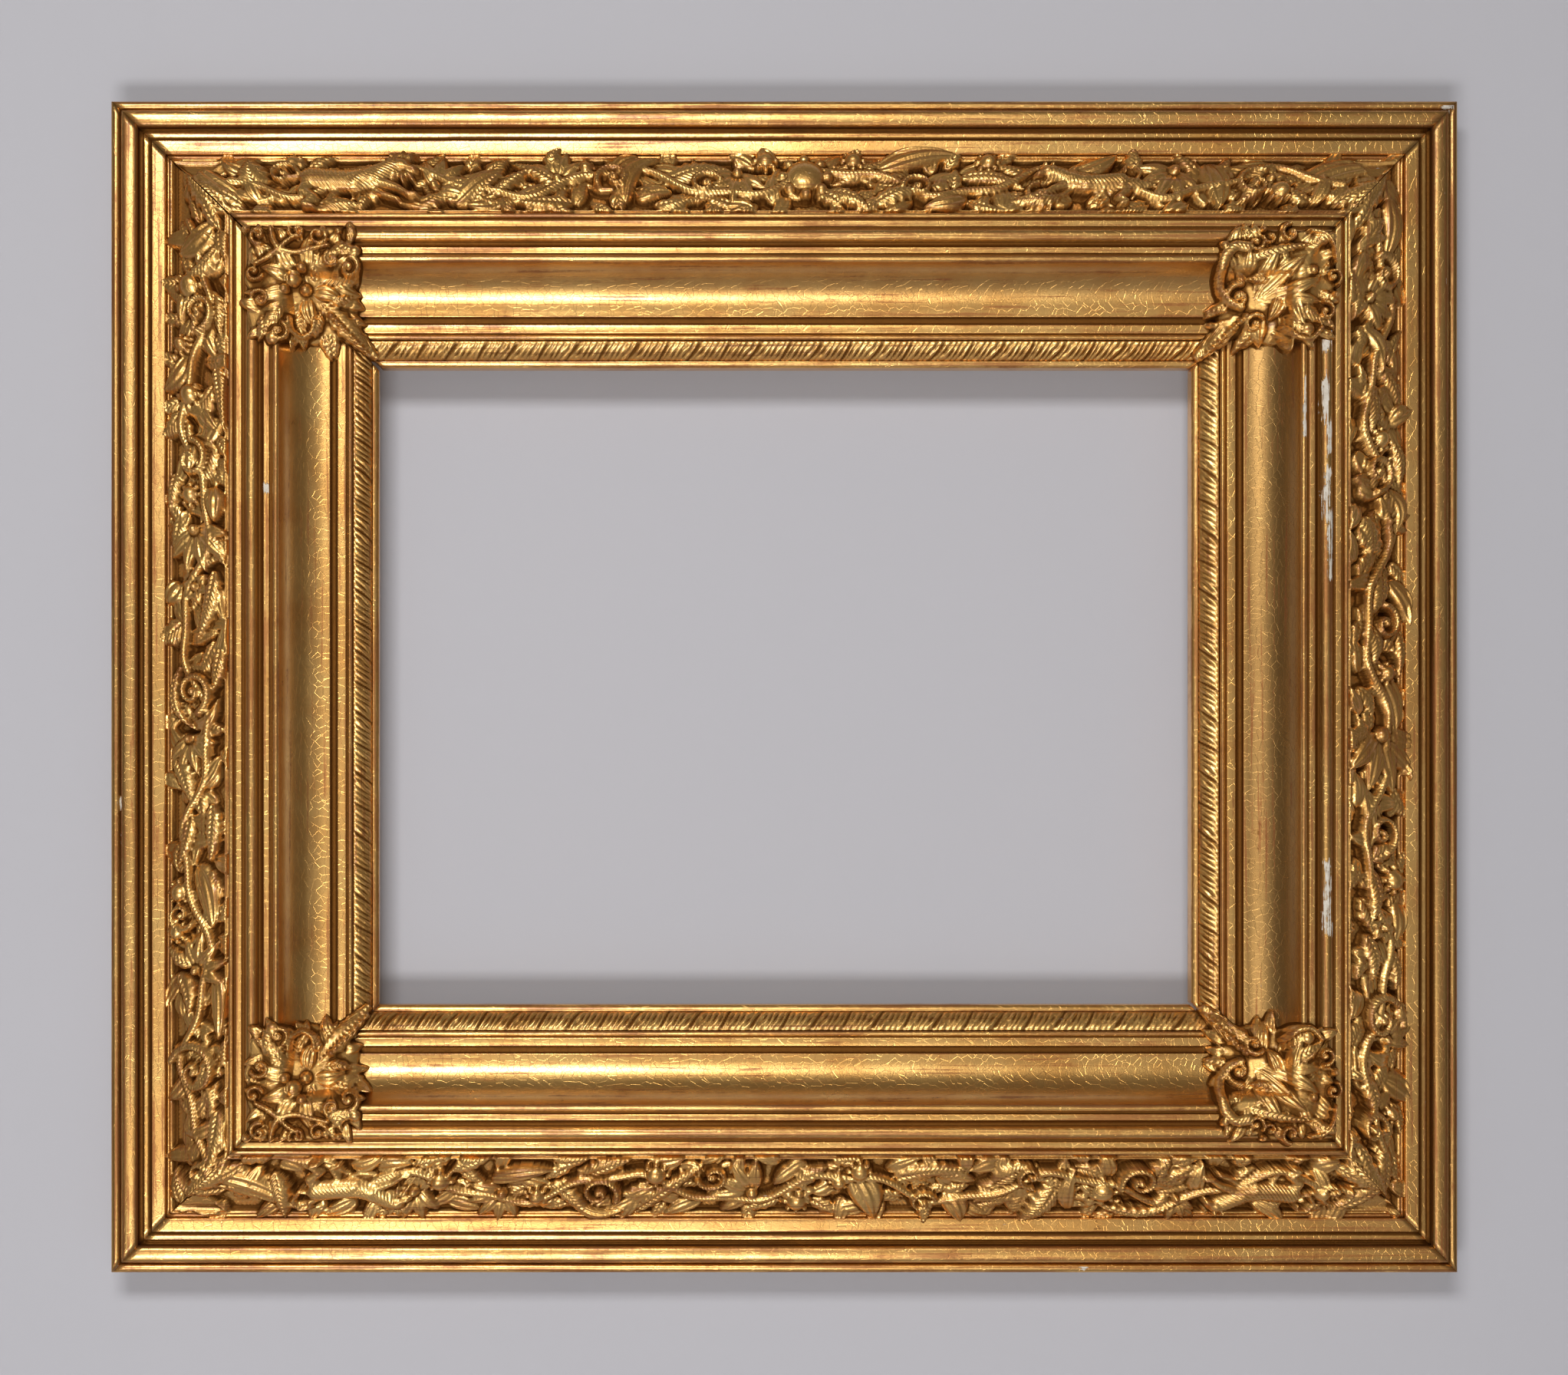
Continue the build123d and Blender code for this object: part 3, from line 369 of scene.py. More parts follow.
# Bands along the rails browned as painted shade: rail, from and to inward, how much
shaded_bands = [
    ("right", -2, 17, 0.8), ("right", 86, 111, 0.85), ("right", 64, 84, 0.35), ("left", -2, 17, 0.55),
    ("left", 20, 29, 0.5), ("left", 62, 84, 0.25), ("top", 86, 98, 0.35), ("top", 60, 70, 0.3),
]


def side_shade_marks(side, inward):
    """How much painted shade each point gets, with soft edges 2 mm wide to every band."""
    shade_amount = np.zeros_like(inward)
    for shaded_side, start, stop, amount in shaded_bands:
        if shaded_side == side:
            edges = np.clip((inward - start) / 2, 0, 1) * np.clip((stop - inward) / 2, 0, 1)
            shade_amount = np.maximum(shade_amount, amount * edges)
    return shade_amount


def loss_marks(side, along, inward):
    """How near each point lies to a place that has lost its gilding, from 0 to about 1."""
    near = np.zeros_like(along)
    for lost_side, start, stop, middle, spread in lost_gilding:
        if lost_side == side:
            beyond = np.maximum(np.maximum(start - along, along - stop), 0) / spread
            near = np.maximum(near, np.exp(-(beyond ** 2) - ((inward - middle) / spread) ** 2))
    return near


def run_moulding(part, side, corners, count):
    """A moulding run along one side: one soft section at stations 4 mm apart, each of its points
    carried to its own place on the mitre."""
    w, h, proud = soft_section(corners, count)
    stations = int(2 * rails[side][3] / 4.0)
    along = mitred(side, w, np.linspace(-1, 1, stations)[:, None])
    inward, forward = np.broadcast_to(w, along.shape), np.broadcast_to(h, along.shape)
    front = np.clip((forward - planting - 0.5) / 2, 0, 1)
    uneven = waver(along, inward, len(side)) * front
    # Hollows of the section are darkened by the recess mark: dirt and painted shade
    marks = {
        "recess": np.clip(-proud / 0.42, 0, 1) + 0 * along,
        "crest": np.clip(proud / 0.40, 0, 1) + 0 * along,
        "loss": loss_marks(side, along, inward), "side_shade": side_shade_marks(side, inward),
    }
    inward, forward = inward + 0.3 * uneven * (inward > 1), forward + uneven - 0.12 * front
    node = f"{part}_moulding_{side}"
    lay_rail(f"gilded_{part}_{side}", side, inward, forward, along, marks, burnished, node)


outer_corners = [
    (0, 0, 0), (0, 3.6, 0), (4.8, 3.6, 2.1), (5.4, 3.6, 0), (5.4, 7, 0), (7.1, 9.7, 0.5),
    (12.5, 9.7, 0.26), (13.6, 6.4, 0.7), (13.6, 5, 0), (16.8, 5, -0.9), (16.8, 7.8, 0), (19.1, 7.8, 0),
    (21.1, 11, -0.8), (27.6, 11, 0), (28.1, 8.4, 0), (30, 8.4, 0.9), (30, 0, 0),
]
outer_corners = [(w, planting + h, rise) for w, h, rise in outer_corners]
for side in rails:
    run_moulding("outer", side, outer_corners, 96)

# The inner moulding rises from the frieze by a bead, a fillet, a fat astragal, a scotia and a listel
# to the rim bead, falls down the deep cove, and ends in a fillet, a bead and the plain sight lip.

inner_corners = [
    (61.2, 0, 0), (61.2, 31.4, 0), (63.6, 31.4, 1.1), (63.6, 30.4, 0), (64.6, 30.4, 0), (64.6, 31.6, 0),
    (67.6, 31.6, 0), (67.6, 30.8, 0), (69.2, 30.8, 0), (69.2, 32.6, 0), (75.8, 33.2, 3),
    (78.6, 35.6, -0.8), (78.6, 36.4, 0), (81.6, 36.4, 0), (81.6, 35.6, 0), (83.2, 35.6, 0),
    (83.2, 38.4, 0), (86.4, 38.4, 1.6), (86.4, 37.8, 0), (110, 20.6, -5.2), (110, 18.2, 0),
    (113.5, 18.2, -0.7), (113.5, 18.8, 0), (117.7, 18.8, 0), (117.7, 17.3, 0), (118.4, 17.3, 0),
    (120.6, 17.3, 0.8), (120.6, 15.6, 0), (130.3, 9.6, 0), (130.3, 11.3, 0), (133.4, 10, 0.4),
    (133.4, 0.5, 0), (125.4, 0.5, 0), (125.4, 0, 0),
]
inner_corners = [(w, planting + h, rise) for w, h, rise in inner_corners]
for side in rails:
    run_moulding("inner", side, inner_corners, 190)

# Round the sight runs a ribbon-and-stick: a rounded stick wound with a ribbon that is carved as
# groups of slanting strokes, with a short bare stretch of the stick between two groups.

bed_outer, bed_inner = (120.75, 15.5), (130.15, 9.7)
ribbon_pitch, ribbon_rise = 15.0, 1.9


def ribbon_height(along, across):
    """A round stick, and on it strokes that lean and swell: a wave across the ribbon inside each
    repeat, faded out where the bare stick shows."""
    stick = np.sqrt(np.clip(1 - (across * 1.03) ** 2, 0, 1))
    leaning = along + across * 3.6 + 0.7 * np.sin(along * 0.21) + 0.35 * np.sin(along * 0.83 + across)
    phase = np.mod(leaning / ribbon_pitch, 1)
    strokes = 0.5 - 0.5 * np.cos(2 * np.pi * phase * 5.0)
    band = np.clip(np.minimum(phase, 1 - phase) * 9.0, 0, 1)
    uneven = 0.80 + 0.20 * np.sin(along * 0.37) * np.sin(along * 0.113 + 1)
    uneven = uneven + 0.10 * np.sin(along * 2.3 + 4 * across)
    wound = band * (0.35 + 0.65 * strokes ** 0.8) * uneven
    return stick * (0.50 + 0.85 * wound) + 0.12


soft_gilding = gilded_finish("matt_gilding", (0.85, 0.51, 0.155), (0.66, 0.335, 0.080), 0.28, 0.8, 0.94)


def blurred(values, axis, places):
    """A grid averaged along one axis under a bell curve, of which places are the grid's steps."""
    bell = np.exp(-0.5 * places ** 2)
    bell /= bell.sum()
    size = len(places) // 2
    padded = np.pad(values, [(size, size) if i == axis else (0, 0) for i in (0, 1)], "edge")
    return np.apply_along_axis(lambda row: np.convolve(row, bell, "valid"), axis, padded)


def carve_marks(forward, spacing_along, spacing_across):
    """Where a carved skin lies below or stands above its own surroundings, within about 1.5 mm."""
    around = forward
    for axis, spacing in enumerate((spacing_along, spacing_across)):
        reach = max(1, round(1.5 / spacing))
        around = blurred(around, axis, np.arange(-3 * reach, 3 * reach + 1) / reach)
    return np.clip((around - forward) / 1.7, 0, 1), np.clip((forward - around) / 1.4, 0, 1)


def lay_carving(name, node, side, inward, forward, along, recess, crest, outer, inner):
    """A carved skin set along one side, with two more columns that carry it back behind itself.
    outer and inner are the inward and forward places of these two."""

    def closed(values, last, first):
        rows = len(values)
        return np.concatenate([values, np.full((rows, 1), first), np.full((rows, 1), last)], 1)

    inward, forward = closed(inward, outer[0], inner[0]), closed(forward, outer[1], inner[1])
    along = closed(along, along[:, :1], along[:, -1:])
    marks = {
        "recess": closed(np.clip(recess, 0, 1), 0, 0), "crest": closed(crest, 0, 0),
        "loss": loss_marks(side, along, inward),
    }
    lay_rail(name, side, inward, forward, along, marks, soft_gilding, node)


ribbon_slope = math.atan2(bed_outer[1] - bed_inner[1], bed_inner[0] - bed_outer[0])
ribbon_spacing, ribbon_columns = 0.55, 24
for side in rails:
    stations = int(2 * (rails[side][3] - bed_outer[0]) / ribbon_spacing)
    across = np.linspace(-1, 1, ribbon_columns)
    w_flat = bed_outer[0] + (bed_inner[0] - bed_outer[0]) * (across + 1) / 2
    h_flat = planting + bed_outer[1] + (bed_inner[1] - bed_outer[1]) * (across + 1) / 2
    along = mitred(side, w_flat, np.linspace(-1, 1, stations)[:, None])
    rise = ribbon_height(along, across[None, :]) * ribbon_rise
    recess, crest = carve_marks(rise, ribbon_spacing, 0.48)
    inward = w_flat + rise * math.sin(ribbon_slope) * 0.6
    forward = h_flat + rise * math.cos(ribbon_slope)
    outer, inner = (bed_outer[0], h_flat[0] - 0.5), (bed_inner[0], h_flat[-1] - 0.5)
    # The ribbon's grooves take dirt and painted shade by the recess mark, and all of it is darkened a
    # little
    lay_carving(f"carved_ribbon_{side}", f"sight_ribbon_{side}", side, inward, forward, along,
                0.15 + recess * 4.2, crest, outer, inner)

# The frieze is carved in the wood itself: beasts that run through acanthus leaves, shells, rosettes
# and scrolling stems, cut deep on a ground that slopes up from the flat band to the inner moulding.


class Relief:
    """Carving as a height over a plane: x along the rail and y outward across it, in millimetres.
    Each form is raised over the ground, and where two forms meet the higher one is kept."""

    def __init__(self, half_length, half_breadth, spacing):
        self.spacing = spacing
        self.x = np.arange(-half_length, half_length + spacing, spacing)
        self.y = np.arange(-half_breadth, half_breadth + spacing, spacing)
        self.height = np.zeros((len(self.x), len(self.y)))

    def raise_form(self, x, y, reach, form):
        """form(dx, dy) gives the heights about x, y, and nothing is raised beyond reach."""
        rows = slice(*np.searchsorted(self.x, (x - reach, x + reach)))
        columns = slice(*np.searchsorted(self.y, (y - reach, y + reach)))
        patch = self.height[rows, columns]
        if patch.size:
            np.maximum(patch, form(self.x[rows, None] - x, self.y[None, columns] - y), out=patch)

    def leaf(self, x, y, turn, length, width, bend, rise, fluted=False):
        """An acanthus leaf: a dome across that narrows to both ends by a power of a sine, a scalloped
        edge, a groove at the midrib, and veins that run along it or slant away from the midrib."""
        heading = math.radians(turn)

        def form(dx, dy):
            u = dx * math.cos(heading) + dy * math.sin(heading)
            t = np.clip(u / length, 0, 1)
            v = dy * math.cos(heading) - dx * math.sin(heading) - bend * 4 * t * (1 - t)
            scallop = 1 - 0.20 * np.abs(np.sin(math.pi * t * length / 4.6)) * (not fluted)
            half = width / 2 * np.sin(math.pi * t ** 0.7) ** 0.7 * scallop + 0.02
            q = np.abs(v) / half
            if fluted:
                veins = 0.5 - 0.5 * np.cos(2 * math.pi * q * 1.5)
            else:
                veins = 0.5 - 0.5 * np.cos(2 * math.pi * (u * 0.42 - np.abs(v) * 0.5))
            dome = np.sqrt(np.clip(1 - q ** 2, 0, 1))
            lift = 0.46 + 0.36 * np.sin(math.pi * t) + 0.18 * t
            height = rise * lift * (0.26 + 0.74 * dome) - (0.55 + 0.09 * rise) * veins * dome
            height = height - 1.1 * np.exp(-(v / 0.55) ** 2) * (1 - t)
            return np.where((q < 1) & (u > 0) & (u < length), height, 0)

        self.raise_form(x, y, length + abs(bend) + width, form)

    def stem(self, points, start_radius, end_radius, rise, hatch=0.10):
        """A rounded stem along points, with slanting cuts across it like a rope's."""
        points = np.asarray(points, dtype=float)
        ends = np.concatenate([[0], np.cumsum(np.linalg.norm(np.diff(points, axis=0), axis=1))])
        places = np.arange(0, ends[-1], self.spacing)
        xs, ys = np.interp(places, ends, points[:, 0]), np.interp(places, ends, points[:, 1])
        turns = np.unwrap(np.arctan2(np.gradient(ys), np.gradient(xs)))
        for place, x, y, heading in zip(places, xs, ys, turns):
            share = place / ends[-1]
            radius = start_radius + (end_radius - start_radius) * share

            def form(dx, dy):
                u = dx * math.cos(heading) + dy * math.sin(heading)
                v = dy * math.cos(heading) - dx * math.sin(heading)
                cuts = 1 + hatch * np.cos(2 * math.pi * (place + u + 0.8 * v) / 1.9)
                round_top = np.sqrt(np.clip(1 - (dx ** 2 + dy ** 2) / radius ** 2, 0, 1))
                return np.where(round_top > 0, rise * (0.35 + 0.65 * round_top) * cuts, 0)

            self.raise_form(x, y, radius, form)

    def scroll(self, x, y, radius, start, sweep, thick, rise):
        """A spiral whose radius falls by a power of its turn, ending in a small ball."""
        t = np.linspace(0, 1, 60)
        angle = np.radians(start + sweep * t)
        reach = radius * (1 - 0.80 * t ** 0.85)
        spiral = np.stack([x + reach * np.cos(angle), y + reach * np.sin(angle)], 1)
        self.stem(spiral, thick, thick * 0.6, rise)
        self.ball(x, y, thick * 1.05, rise + 0.5, 0)

    def ball(self, x, y, radius, rise, beads=8):
        """A round boss, with a ring of beads about its foot where beads are asked for."""

        def form(dx, dy):
            q = (dx ** 2 + dy ** 2) / radius ** 2
            return np.where(q < 1, rise * (0.35 + 0.65 * np.sqrt(np.clip(1 - q, 0, 1))), 0)

        self.raise_form(x, y, radius, form)
        for bead in range(beads):
            angle = 2 * math.pi * bead / beads
            bead_x, bead_y = x + radius * 1.15 * math.cos(angle), y + radius * 1.15 * math.sin(angle)
            self.ball(bead_x, bead_y, radius * 0.32, rise * 0.7, 0)

    def fan(self, x, y, turn, length):
        """A shell: fluted blades that spread from one point, with a boss there."""
        blades, spread, rise = 5, 130, 6.8
        for blade in range(blades):
            aside = blade / (blades - 1) - 0.5
            reach = length * (1 - 0.5 * aside ** 2)
            self.leaf(x, y, turn + spread * aside, reach, length * 0.42, 0, rise - abs(aside), True)
        self.ball(x, y, length * 0.14, rise, 0)

    def rosette(self, x, y, radius):
        """A flower: petals about a beaded boss."""
        petals, rise = 6, 6.4
        for petal in range(petals):
            self.leaf(x, y, 360 / petals * petal + 15, radius, radius * 0.72, 0, rise, True)
        self.ball(x, y, radius * 0.28, rise + 0.6, 6)

    def beast(self, x, y, length, facing, mane):
        """A running animal: trunk, neck, head and legs as tapering stems, a looped tail and ears."""

        def place(*shares):
            return [(x + facing * a * length, y + b * length) for a, b in shares]

        def limb(shares, start, end, rise, hatch=0.03):
            self.stem(place(*shares), start * length, end * length, rise, hatch)

        tail = [(-0.34, 0.04), (-0.46, 0.02), (-0.52, 0.12), (-0.46, 0.21), (-0.37, 0.19), (-0.38, 0.13)]
        near_hind_leg = [(-0.30, 0.00), (-0.36, -0.11), (-0.28, -0.18), (-0.35, -0.25), (-0.28, -0.27)]
        limb([(0.10, -0.02), (0.22, -0.12), (0.33, -0.17)], 0.045, 0.026, 4.6)
        limb([(-0.26, 0.0), (-0.14, -0.10), (-0.19, -0.20), (-0.12, -0.24)], 0.055, 0.022, 4.6)
        limb(tail, 0.028, 0.018, 6.4)
        limb([(-0.30, 0.02), (-0.15, 0.00), (0.02, -0.01), (0.16, 0.03)], 0.105, 0.098, 8.0, 0.08)
        limb([(0.16, 0.03), (0.26, 0.09), (0.33, 0.13)], 0.105, 0.085, 8.2, 0.07)
        limb(near_hind_leg, 0.075, 0.022, 7.0)
        limb([(0.20, -0.02), (0.33, -0.08), (0.42, -0.15), (0.48, -0.15)], 0.055, 0.024, 7.0)
        head_x, head_y = place((0.37, 0.13))[0]
        for lock in range(9 if mane else 0):
            turn = 60 + lock * 30 if facing > 0 else 120 - lock * 30
            self.leaf(head_x, head_y, turn, length * 0.17, length * 0.075, 0, 8.4, True)
        self.ball(head_x, head_y, length * 0.070, 8.8, 0)
        limb([(0.37, 0.12), (0.46, 0.08)], 0.045, 0.036, 8.2, 0)
        for aside in (0.02, -0.05):
            ear_x, ear_y = place((0.34 + aside, 0.18))[0]
            self.leaf(ear_x, ear_y, 100, length * 0.09, length * 0.045, 0, 8.6, True)

    def blur(self, reach):
        """Soften the whole field as gesso does, by a bell curve of that reach both ways."""
        size = max(1, int(3 * reach / self.spacing))
        for axis in (0, 1):
            self.height = blurred(self.height, axis, np.arange(-size, size + 1) * self.spacing / reach)

    def at(self, x, y, field=None):
        """The height at any places, read between the four grid points about each."""
        field = self.height if field is None else field
        row = np.clip((x - self.x[0]) / self.spacing, 0, len(self.x) - 1.001)
        column = np.clip((y - self.y[0]) / self.spacing, 0, len(self.y) - 1.001)
        i, j = row.astype(int), column.astype(int)
        a, b = row - i, column - j
        low = field[i, j] * (1 - b) + field[i, j + 1] * b
        return low * (1 - a) + (field[i + 1, j] * (1 - b) + field[i + 1, j + 1] * b) * a


# Leaves of each rail: place clockwise from its middle, place outward, turn, length, width, bend
frieze_leaves = {
    "top": [
        (-268, -10.8, 135, 31, 14, 3.1), (-257, -4.7, 107, 20, 15.6, 1.6), (-233, -15.5, 5, 23, 9.4, 1.6),
        (-163, -12.6, 40, 31, 9.4, 2.5), (-108, -4.7, 148, 30, 8.7, -1.9),
        (-105, -10.8, 180, 28, 9.4, 1.6), (-80, -10.8, 55, 30, 10.9, 7.8), (-61, 1.1, 12, 33, 14, 2.5),
        (-45, -10.8, 20, 22, 7.8, 4.7), (-6, 12.2, 122, 11, 9.4, 1.6), (27, 10.8, 52, 16, 9.4, -1.6),
        (19, -4.7, -30, 22, 9.4, 1.6), (44, 9.4, 12, 39, 11.9, 3.1), (42, 0, 0, 37, 7.8, -3.7),
        (42, -12.6, 17, 23, 10, 1.6), (88, -7.2, 200, 22, 9.4, 1.6), (86, 5.4, -17, 30, 8.7, 3.1),
        (135, -5.4, 195, 25, 10.9, 1.9), (139, 5.4, 29, 27, 9.4, -2.5), (171, 5.4, 90, 17, 9.4, 0),
        (148, -5.4, 5, 31, 10.9, 1.9), (208, 14.4, -85, 28, 12.5, 1.9), (231, 3.6, 235, 19, 9.4, 1.9),
        (221, 3.6, 27, 19, 8.7, -1.9), (249, -4.7, 16, 48, 12.5, 6.9), (-148, -10, 38, 33, 6, 0),
        (-155, -13, 52, 26, 5, 0), (-140, -14, 30, 30, 5, 0), (-115, 8, 70, 14, 9, 2),
    ],
    "bottom": [
        (284, -4.7, 158, 47, 11.2, 5), (251, -8.3, 101, 26, 9.4, 1.6), (161, -10.4, 204, 17, 9.4, 1.6),
        (145, -3.6, 193, 30, 7.8, 1.9), (114, -1.8, 132, 26, 8.7, 1.9), (101, -3.6, 207, 26, 9.4, 2.5),
        (107, 4.7, 165, 28, 6.2, -6.2), (74, 15.8, 221, 41, 7.8, 1.6), (-4, 0, 219, 19, 9.4, 1.6),
        (-33, -8.3, 111, 27, 14, 1.6), (-51, -3.6, 191, 34, 9.4, 3.1), (-65, 2.5, 97, 19, 8.7, 1.6),
        (-78, 2.5, 114, 19, 10.9, 1.6), (-101, 0, 215, 22, 12.5, 2.5), (-132, -1.8, 51, 27, 12.5, 1.9),
        (-139, 14.4, 267, 25, 7.8, 3.1), (-179, -1.8, 243, 16, 9.4, 1.6),
        (-152, 10.1, 187, 42, 5.6, -6.9), (-201, 4.7, 266, 19, 7.8, 1.6),
        (-268, 14.4, 228, 41, 9.4, -4.4),
    ],
    "left": [
        (225, -9, 125, 23, 12.5, 3.1), (215, -13, 125, 25, 7.8, 5), (198, 7.9, 82, 15, 9.4, 1.6),
        (194, 7.9, 174, 16, 6.2, 1.2), (193, -3.6, 163, 22, 6.2, 1.2), (193, -9, 192, 21, 7.8, 1.2),
        (161, 6.1, 140, 20, 10.9, 3.7), (157, -10.4, 190, 32, 7.8, 1.9), (135, 9.7, 138, 16, 10.9, 1.9),
        (120, 4, 180, 17, 7.8, 1.6), (118, -9, 163, 20, 9.4, 1.9), (105, 13.7, 172, 18, 7.8, 1.6),
        (97, -9, 186, 17, 9.4, 1.6), (83, 11.2, 169, 17, 9.4, 1.6), (56, -10.4, 165, 33, 9.4, 3.1),
        (51, 11.2, 144, 12, 10.9, 1.6), (31, 9.7, 121, 16, 12.5, 1.6), (10, 10.8, 199, 32, 6.2, -6.9),
        (-20, 4, -51, 21, 6.2, -5), (18, -13.7, 170, 21, 8.1, 1.6), (-34, 13.7, 206, 26, 10.9, 2.5),
        (-35, -13, 142, 22, 6.2, 1.6), (-61, 4, 166, 27, 7.8, 2.5), (-58, -9, 180, 27, 9.4, 1.9),
        (-89, 0, 198, 30, 10.9, 2.5), (-137, 1.1, 57, 17, 7.8, 1.6), (-141, 11.9, 198, 21, 9.4, 4.4),
        (-141, -10.8, 184, 31, 7.8, 1.9), (-177, -9, 150, 24, 9.4, 3.7), (-208, -11.5, 167, 25, 9.4, 2.5),
    ],
    "right": [
        (-240, 10.1, -10, 31, 10.9, 3.7), (-215, -7.2, 140, 16, 10.9, 1.6), (-218, 3.6, 25, 19, 6.2, 1.6),
        (-175, -7.2, 27, 23, 6.9, 3.1), (-148, -6.1, 6, 23, 10.9, 1.6), (-156, 5, 23, 25, 6.9, 1.9),
        (-129, 9, 114, 14, 9.4, 1.6), (-122, 11.9, 8, 23, 7.8, 1.9), (-112, -7.2, 16, 18, 9.4, 1.6),
        (-97, 6.1, 15, 22, 7.8, 5.6), (-83, -7.2, 10, 19, 10.9, 1.6), (-58, 3.6, -18, 24, 10.9, 1.9),
        (-52, 9, 28, 25, 9.4, 2.5), (-30, 15.1, 0, 25, 6.2, 1.6), (-30, -5, 7, 19, 10.9, 1.6),
        (-5, 3.6, 17, 28, 12.5, 2.5), (30, 6.1, 116, 17, 6.2, 1.6), (39, 15.8, 41, 16, 5.6, 1.6),
        (51, -6.1, 2, 28, 9.4, 2.5), (86, -2.2, 116, 17, 9.4, 1.6), (89, -3.6, 0, 25, 9.4, 1.9),
        (106, 15.1, -6, 19, 9.4, 1.6), (122, -6.1, 7, 21, 9.4, 1.9), (127, 7.2, 11, 22, 7.8, 2.5),
        (193, 6.1, 56, 20, 12.5, 1.6), (191, -7.2, 12, 18, 9.4, 1.6), (224, 6.1, -17, 31, 9.4, 3.1),
    ],
}
# Shells: place clockwise, place outward, turn, length
frieze_fans = {
    "top": [(-172, -2, 45, 20), (-112, 2, 75, 19), (-24, 6, -100, 19), (190, 8, -120, 22)],
    "bottom": [(182, 2, 70, 19), (139, 3, 49, 19), (17, 3, -29, 22), (-190, 6, 80, 15)],
    "left": [(76, 1, 198, 22), (-26, 4, 196, 18), (-139, 0, -44, 19)],
    "right": [(-189, -5, 90, 19), (-80, 7, 138, 17), (24, 3, 15, 30), (173, 6, 143, 19)],
}
# Scrolls: place clockwise, place outward, radius, where the spiral starts, its sweep, its thickness
frieze_scrolls = {
    "top": [
        (-84, 2, 9, 200, -420, 2.1), (-40, -2, 8, 20, 400, 1.9), (64, -4, 8, 180, -400, 1.9),
        (228, -2, 10, 60, 430, 2), (-246, 4, 8, 0, 400, 1.8), (122, -9, 7, 90, 380, 1.6),
    ],
    "bottom": [
        (92, 2, 10, 150, 430, 2.2), (-172, -4, 10, 20, -420, 2.2), (-66, 8, 7, 200, 380, 1.7),
        (-266, 2, 9, 180, -400, 2), (36, -8, 8, 20, 400, 1.8), (-118, -8, 7, 100, -380, 1.7),
    ],
    "left": [
        (-188, 0, 15, 70, -420, 2.6), (-238, -2, 11, 100, 400, 2.2), (-3, 1, 11, 200, 440, 2.5),
        (110, 2, 10, 0, -420, 2.2), (182, -2, 10, 180, 420, 2.2), (-112, 8, 8, 240, -400, 1.9),
    ],
    "right": [
        (163, 2, 14, 80, 430, 2.6), (-104, -1, 10, 0, 420, 2.2), (-30, 4, 9, 180, -400, 2),
        (72, 2, 10, 20, 420, 2.1), (-200, 4, 10, 200, -420, 2.1), (216, -4, 9, 90, 400, 2),
    ],
}
# Bosses and balls: place clockwise, place outward, radius
frieze_balls = {
    "top": [
        (-241, 12, 4.2), (-98, 9, 3.6), (9, 4, 9.5), (-10, 14, 4.6), (33, 14, 4.4), (99, 13, 4.4),
        (240, -5, 5),
    ],
    "bottom": [
        (169, -4, 5), (122, 5, 4.2), (64, -8, 5.2), (-5, 8, 5), (-25, -4, 3.8), (-35, -10, 4.6),
        (-154, 2, 6), (-261, 3, 4.4),
    ],
    "left": [(195, 4, 6), (167, 9, 3.8), (142, 4, 5.4), (93, 3, 4.6), (-101, 10, 5), (-120, 11, 4.6)],
    "right": [(-120, 2, 4.6), (-6, 6, 4.2), (95, 11, 5.4), (160, 14, 4.2), (209, 9, 3.8)],
}
# Animals: place clockwise, place outward, length, the way it faces, whether it has a mane
frieze_beasts = {
    "top": [(-212, 1, 66, 1, True), (146, -1, 52, -1, False)],
    "bottom": [(211, 0, 58, -1, True), (-229, 2, 55, 1, False)],
    "left": [],
    "right": [],
}
# Rosettes: place clockwise, place outward, radius
frieze_rosettes = {
    "top": [(236, 2, 9.5)],
    "bottom": [(-6, 3, 9), (-150, 4, 9)],
    "left": [(48, 0, 9)],
    "right": [(118, 4, 8.5)],
}
# The slope that carries the carving: inward and forward at its outer edge, inner edge and middle
frieze_outer, frieze_inner, frieze_middle = (30.15, 7.5), (61.05, 26.0), (45.6, 16.75)
slope_width = math.hypot(frieze_inner[0] - frieze_outer[0], frieze_inner[1] - frieze_outer[1])
lean_in = (frieze_inner[1] - frieze_outer[1]) / slope_width
lean_up = (frieze_inner[0] - frieze_outer[0]) / slope_width
# The relief's grid step, the skin's stations and columns, and its lip over the slope's outer edge
frieze_step, frieze_spacing, frieze_columns, overhang = 0.5, 0.54, 84, 4.0
ground_depth, fillet_line, fillet_half, fillet_rise = -1.9, 16.7, 0.75, 1.9


